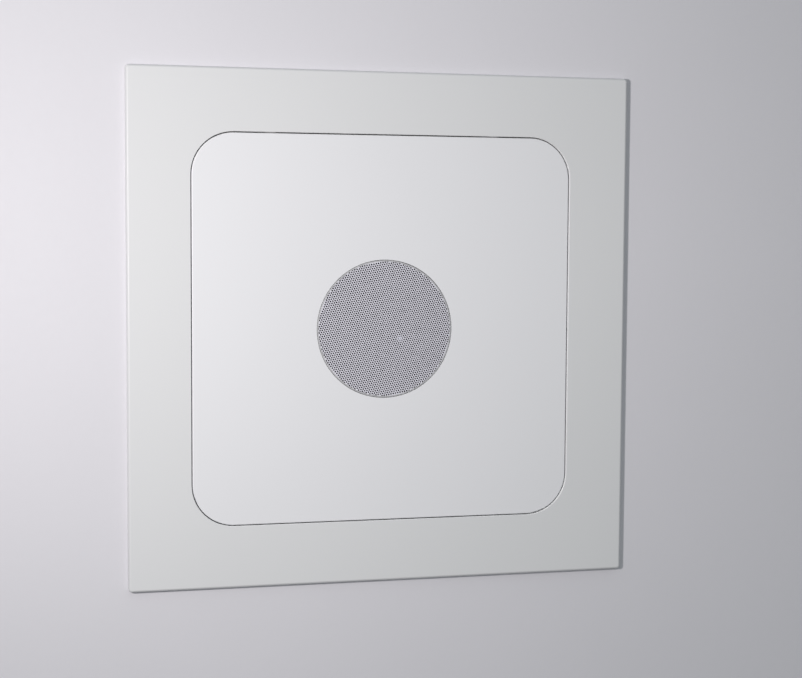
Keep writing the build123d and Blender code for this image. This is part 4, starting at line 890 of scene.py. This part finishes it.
# %% Build the grille
bm = bmesh.new()
front_rings, front_edge = perforated_face(bm, FRONT, RIM_RADIUS - RIM_ROUND)
back_rings, back_edge = perforated_face(bm, FRONT + SHEET, CUP_RADIUS)
for front_ring, back_ring in zip(front_rings, back_rings):
    join_rings(bm, front_ring, back_ring)
flange_front = FLANGE_BACK - FLANGE
bend = []
for angle in (math.pi / 4, math.pi / 2):
    inward = RIM_ROUND * (1 - math.sin(angle))
    behind = RIM_ROUND * (1 - math.cos(angle))
    bend.append((RIM_RADIUS - inward, FRONT + behind))
around_rim = bend + [
    (RIM_RADIUS, flange_front),
    (FLANGE_RADIUS, flange_front),
    (FLANGE_RADIUS, FLANGE_BACK),
    (CUP_RADIUS, FLANGE_BACK),
]
rim_rings = [circle(bm, radius, y) for radius, y in around_rim]
join_chain(bm, [front_edge, *rim_rings, back_edge])
grille = finish_piece(bm, "speaker_grille_fine", "unit", "grille_white")
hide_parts("speaker_grille")
print("grille faces:", len(grille.data.polygons))

# %% [markdown]
# ## Cloth behind the holes
# The acoustic cloth keeps dust out of the loudspeaker. It is bonded flat to the back of the grille, so
# there is nothing to drape: a thin disc with a pressed rim is its whole shape. A plain circle would have
# no thickness, so a profile is turned about the axis instead, as on a lathe. The loudspeaker's spider is
# a cloth too, dipped in resin and pressed into rolls that let the voice coil move. It is turned the same
# way: a flat collar, three rolls and a flat rim.

# %% Lathe
def turned(bm, profile, steps=96, closed=False):
    """Turns a profile of (radius, y) about the middle axis, as on a lathe."""
    rings = []
    for radius, y in profile:
        rings.append(circle(bm, radius, y, steps) if radius else [bm.verts.new((0.0, y, 0.0))])
    join_chain(bm, rings, closed)


def swept_area(profile):
    """The area that an open profile sweeps when it is turned."""
    area = 0.0
    for (r1, y1), (r2, y2) in zip(profile, profile[1:]):
        area += math.pi * (r1 + r2) * math.hypot(r2 - r1, y2 - y1)
    return area


print("the lathe is ready")

# %% Acoustic cloth piece
CLOTH_RINGS = 10
RIM_PRESS = 0.06 * MM

low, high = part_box("acoustic_mesh")
CLOTH_RADIUS = high.x
front_side = [(CLOTH_RADIUS * k / CLOTH_RINGS, low.y) for k in range(CLOTH_RINGS)]
pressed_rim = [(CLOTH_RADIUS, low.y + RIM_PRESS), (CLOTH_RADIUS, high.y - RIM_PRESS)]
back_side = [(radius, high.y) for radius, _ in reversed(front_side)]
bm = bmesh.new()
turned(bm, front_side + pressed_rim + back_side)
cloth = finish_piece(bm, "acoustic_cloth", "unit", "mesh_grey")
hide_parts("acoustic_mesh")
print("acoustic cloth across in mm:", round(2 * CLOTH_RADIUS / MM, 1))

# %% Spider
SPIDER_BORE = 9.9 * MM
SPIDER_COLLAR = 1.3 * MM
SPIDER_RIM = 2.2 * MM
SPIDER_CLOTH = 0.3 * MM
SPIDER_ROLLS = 3
STEPS_PER_ROLL = 12

low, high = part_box("speaker_spider")
roll_height = high.y - low.y - SPIDER_CLOTH
rolls_start = SPIDER_BORE + SPIDER_COLLAR
rolls_width = high.x - SPIDER_RIM - rolls_start
steps = SPIDER_ROLLS * STEPS_PER_ROLL
rolls = []
for k in range(steps + 1):
    lift = roll_height * math.sin(math.pi * k / STEPS_PER_ROLL) ** 2
    rolls.append((rolls_start + rolls_width * k / steps, high.y - lift))
back_side = [(SPIDER_BORE, high.y)] + rolls + [(high.x, high.y)]
front_side = [(radius, y - SPIDER_CLOTH) for radius, y in reversed(back_side)]
bm = bmesh.new()
turned(bm, back_side + front_side, closed=True)
spider = finish_piece(bm, "spider_cloth", "unit", slot_of["speaker_spider"])
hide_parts("speaker_spider")
print("spider cloth in square mm:", round(swept_area(back_side) / MM**2))

# %% [markdown]
# ## Foam
# A foam pad keeps the battery from rattling and a foam ring seals the loudspeaker to its board. Foam that
# is squeezed between two parts lies flat against them and swells out in between, so neither is a plain
# block. The swelling could be simulated, but on pieces this small a round profile says the same: the ring
# is turned on the lathe and the pad is built up from rounded outlines.

# %% Foam ring
GASKET_BORE = 29.5 * MM
SWELL_STEPS = 8

low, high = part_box("speaker_gasket")
half = (high.y - low.y) / 2
swollen = []
for centre, start in ((high.x - half, -math.pi / 2), (GASKET_BORE + half, math.pi / 2)):
    for k in range(SWELL_STEPS + 1):
        angle = start + math.pi * k / SWELL_STEPS
        swollen.append((centre + half * math.cos(angle), low.y + half + half * math.sin(angle)))
bm = bmesh.new()
turned(bm, swollen, closed=True)
gasket = finish_piece(bm, "foam_ring", "unit", slot_of["speaker_gasket"])
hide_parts("speaker_gasket")
print("foam ring across in mm:", round(2 * high.x / MM, 1))

# %% Foam pad
PAD_CORNER = 4.0 * MM
PAD_SWELL = 1.5 * MM
PAD_LAYERS = 12
CORNER_STEPS = 6


def rounded_outline(bm, low, high, corner, inset, y):
    """A ring of points round a rectangle with round corners, drawn in by the inset."""
    ring = []
    radius = corner - inset
    for quarter in range(4):
        x = high.x - corner if quarter in (0, 3) else low.x + corner
        z = high.z - corner if quarter in (0, 1) else low.z + corner
        for step in range(CORNER_STEPS + 1):
            angle = (quarter + step / CORNER_STEPS) * math.pi / 2
            ring.append(add_point(bm, (x, z), radius, angle, y))
    return ring


low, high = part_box("battery_pad")
bm = bmesh.new()
layers = []
for k in range(PAD_LAYERS + 1):
    height = math.sin(math.pi * (k / PAD_LAYERS - 0.5))
    inset = PAD_SWELL * (1 - math.sqrt(1 - height**2))
    y = (low.y + high.y + height * (high.y - low.y)) / 2
    layers.append(rounded_outline(bm, low, high, PAD_CORNER, inset, y))
join_chain(bm, layers)
bm.faces.new(layers[0])
bm.faces.new(layers[-1])
pad = finish_piece(bm, "foam_pad", "unit", slot_of["battery_pad"], sharp_angle=60)
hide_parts("battery_pad")
print("foam pad in mm:", [round(v / MM, 1) for v in high - low])

# %% [markdown]
# ## Screws
# A screw is known by its thread and its cross slot, and the solids have plain shanks. A thread could be
# painted on as a bump, but its saw-toothed outline shows against the light, so it is built: rings of
# points down the shank, each point standing at the height that the thread has at that depth and angle.
# The thread turns to the right, and it runs out at both ends. The cross is cut into the head with sloping
# walls.

# %% Screw maker
THREAD_SIDES = 24
ROWS_PER_TURN = 6
HEAD_BEVEL = 0.16
CROSS_TAPER = 0.7
THREAD_SLOPE = 2.4
ROOT_FLAT = 0.1


def thread_height(turn):
    """How far the thread stands out, from 0 at its root to 1 at its crest, in the course of a turn."""
    from_root = 0.5 - abs(turn % 1.0 - 0.5)
    return min(max(THREAD_SLOPE * from_root - ROOT_FLAT, 0.0), 1.0)


def threaded_rings(bm, place, seat, way, crest, root, pitch, length):
    """Rings down a shank; the thread grows in and fades out over one turn."""
    rings = []
    rows = round(ROWS_PER_TURN * length / pitch)
    for row in range(1, rows):
        depth = length * row / rows
        fade = min(1.0, depth / pitch, (length - depth) / pitch)
        ring = []
        for k in range(THREAD_SIDES):
            share = k / THREAD_SIDES
            radius = root + (crest - root) * fade * thread_height(depth / pitch + way * share)
            ring.append(add_point(bm, place, radius, 2 * math.pi * share, seat + way * depth))
        rings.append(ring)
    return rings


def cross_ring(bm, place, arm, width, y):
    """The twelve corners of a cross."""
    a, b = arm / 2, width / 2
    quarter = [(a, -b), (a, b), (b, b)]
    corners = []
    for k in range(4):
        side = (-1) ** (k // 2)
        corners += [side * Vector(c if k % 2 == 0 else (-c[1], c[0])) for c in quarter]
    return [bm.verts.new((place[0] + c.x, y, place[1] + c.y)) for c in corners]


print("thread at half a turn stands at", thread_height(0.5))

# %% Whole screw
def add_screw(bm, place, seat, way, head, shank, cross, collar=None):
    """A screw along Y: its head is seated at seat, and its tip lies towards way, +1 or -1."""
    head_radius, head_height = head
    crest, root, pitch, length = shank
    arm, width, depth = cross
    bevel = HEAD_BEVEL * head_height
    top = seat - way * head_height
    collar_radius, collar_length = collar or (root, 0.0)

    def ring_at(radius, y):
        return circle(bm, radius, y, THREAD_SIDES, place)

    rings = [ring_at(head_radius - bevel, top), ring_at(head_radius, top + way * bevel)]
    rings += [ring_at(head_radius, seat), ring_at(root, seat)]
    rings += threaded_rings(bm, place, seat, way, crest, root, pitch, length - collar_length)
    neck = seat + way * (length - collar_length)
    tip = seat + way * length
    rings.append(ring_at(root, neck))
    if collar:
        rings += [ring_at(collar_radius, neck), ring_at(collar_radius, tip)]
    rings.append([bm.verts.new((place[0], tip, place[1]))])
    join_chain(bm, rings)
    slot_top = cross_ring(bm, place, arm, width, top)
    slot_floor = cross_ring(bm, place, arm * CROSS_TAPER, width * CROSS_TAPER, top + way * depth)
    join_rings(bm, slot_top, slot_floor)
    bm.faces.new(slot_floor)
    around_face = loop_edges(bm, rings[0]) + loop_edges(bm, slot_top)
    bmesh.ops.triangle_fill(bm, edges=around_face, use_beauty=True, normal=(0, -way, 0))


print("a thread has", THREAD_SIDES, "sides and", ROWS_PER_TURN, "rows a turn")

# %% Clamp screws
CLAMP_HEAD = (3.6 * MM, 2.4 * MM)
CLAMP_THREAD = (2.0 * MM, 1.57 * MM, 0.7 * MM)
CLAMP_CROSS = (4.4 * MM, 0.9 * MM, 1.4 * MM)
CLAMP_COLLAR = (3.0 * MM, 1.5 * MM)

for corner in ("upper_right", "upper_left", "lower_left", "lower_right"):
    node = f"clamp_screw_{corner}"
    low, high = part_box(node)
    seat = low.y + CLAMP_HEAD[1]
    middle = ((low.x + high.x) / 2, (low.z + high.z) / 2)
    bm = bmesh.new()
    add_screw(bm, middle, seat, 1, CLAMP_HEAD, (*CLAMP_THREAD, high.y - seat), CLAMP_CROSS, CLAMP_COLLAR)
    screw = finish_piece(bm, f"threaded_{node}", f"screw_{corner}", slot_of[node])
    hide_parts(node)
print("faces of a clamp screw:", len(screw.data.polygons))

# %% Small screws
HOUSING_HEAD = (2.8 * MM, 2.0 * MM)
HOUSING_THREAD = (1.25 * MM, 0.88 * MM, 1.1 * MM)
HOUSING_CROSS = (3.4 * MM, 0.7 * MM, 1.0 * MM)
SMALL_HEAD = (2.0 * MM, 1.2 * MM)
SMALL_THREAD = (1.0 * MM, 0.72 * MM, 0.8 * MM)
SMALL_CROSS = (2.4 * MM, 0.5 * MM, 0.7 * MM)
SCREW_GROUPS = {
    "housing_screws": (HOUSING_HEAD, HOUSING_THREAD, HOUSING_CROSS),
    "speaker_screws": (SMALL_HEAD, SMALL_THREAD, SMALL_CROSS),
    "board_screws": (SMALL_HEAD, SMALL_THREAD, SMALL_CROSS),
}

for node, (head, thread, cross) in SCREW_GROUPS.items():
    low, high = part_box(node)
    length = high.y - low.y - head[1]
    bm = bmesh.new()
    for x in (low.x + head[0], high.x - head[0]):
        for z in (low.z + head[0], high.z - head[0]):
            add_screw(bm, (x, z), high.y - head[1], -1, head, (*thread, length), cross)
    screws = finish_piece(bm, f"threaded_{node}", "unit", slot_of[node])
    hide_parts(node)
    print(node, "faces:", len(screws.data.polygons))

# %% [markdown]
# ## The back of the box
# A wide flat wall of plastic warps as it cools, so such a box is moulded with raised beads that keep it
# stiff. It also has knock-outs, round thin spots that an installer pushes out for one more cable. Both
# are low and could be painted on as bumps, but their edges catch the light when the box is seen from the
# side, so they are built. A bead is a rounded bar bent round a square. A knock-out is a low pad inside a
# ring: it is turned on the lathe and then moved to its wall. Both sink a little into the wall, so that no
# crack shows at their feet.

# %% Beads
BEAD_WIDTH = 2.6 * MM
BEAD_HEIGHT = 1.4 * MM
BEAD_STEPS = 8
SUNK = 0.3 * MM
BEAD_SQUARES = ((70 * MM, 14 * MM), (41 * MM, 9 * MM))

_, box_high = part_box("mounting_box")
section = [(-BEAD_WIDTH / 2, box_high.y - SUNK)]
for k in range(BEAD_STEPS + 1):
    angle = math.pi * k / BEAD_STEPS
    section.append((-BEAD_WIDTH / 2 * math.cos(angle), box_high.y + BEAD_HEIGHT * math.sin(angle)))
section.append((BEAD_WIDTH / 2, box_high.y - SUNK))
bm = bmesh.new()
for half, corner in BEAD_SQUARES:
    low = Vector((-half, 0.0, -half))
    high = Vector((half, 0.0, half))
    rings = [rounded_outline(bm, low, high, corner, inset, y) for inset, y in section]
    join_chain(bm, rings, closed=True)
beads = finish_piece(bm, "box_beads", "wall_mount", slot_of["mounting_box"])
print("bead faces:", len(beads.data.polygons))

# %% Knock-outs
KNOCKOUT_PAD = ((0.0, 0.5), (8.3, 0.5), (8.7, 0.3), (8.8, -0.3), (0.0, -0.3))
KNOCKOUT_RING = ((9.8, -0.3), (9.9, 0.6), (10.2, 0.9), (10.8, 0.9), (11.1, 0.6), (11.2, -0.3))
KNOCKOUT_SIDES = 48
BACK_SPREAD = 55.5 * MM
SIDE_SPREAD = 30.0 * MM
SIDE_DEPTH = 39.0 * MM
BOX_SIDE = 89.8 * MM


def add_knockout(bm, place, outward):
    """A pad in a ring, on the wall that faces outward."""
    before = set(bm.verts)
    for profile, closed in ((KNOCKOUT_PAD, False), (KNOCKOUT_RING, True)):
        in_metres = [(radius * MM, height * MM) for radius, height in profile]
        turned(bm, in_metres, KNOCKOUT_SIDES, closed)
    added = [vert for vert in bm.verts if vert not in before]
    turn = Vector((0.0, 1.0, 0.0)).rotation_difference(outward).to_matrix().to_4x4()
    bmesh.ops.transform(bm, matrix=Matrix.Translation(place) @ turn, verts=added)


bm = bmesh.new()
for sx in (-1, 1):
    for sz in (-1, 1):
        back_place = Vector((sx * BACK_SPREAD, box_high.y, sz * BACK_SPREAD))
        add_knockout(bm, back_place, Vector((0.0, 1.0, 0.0)))
        level_place = Vector((sx * SIDE_SPREAD, SIDE_DEPTH, sz * BOX_SIDE))
        add_knockout(bm, level_place, Vector((0.0, 0.0, sz)))
        upright_place = Vector((sx * BOX_SIDE, SIDE_DEPTH, sz * SIDE_SPREAD))
        add_knockout(bm, upright_place, Vector((sx, 0.0, 0.0)))
knockouts = finish_piece(bm, "box_knockouts", "wall_mount", slot_of["mounting_box"])
print("knock-out faces:", len(knockouts.data.polygons))

# %% [markdown]
# ## Size
# The dressed chime must fill the same box as its solids. Its box is measured and written down.

# %% Measure
low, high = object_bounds()
print("visual box in mm:", [round(v / MM, 1) for v in high - low])
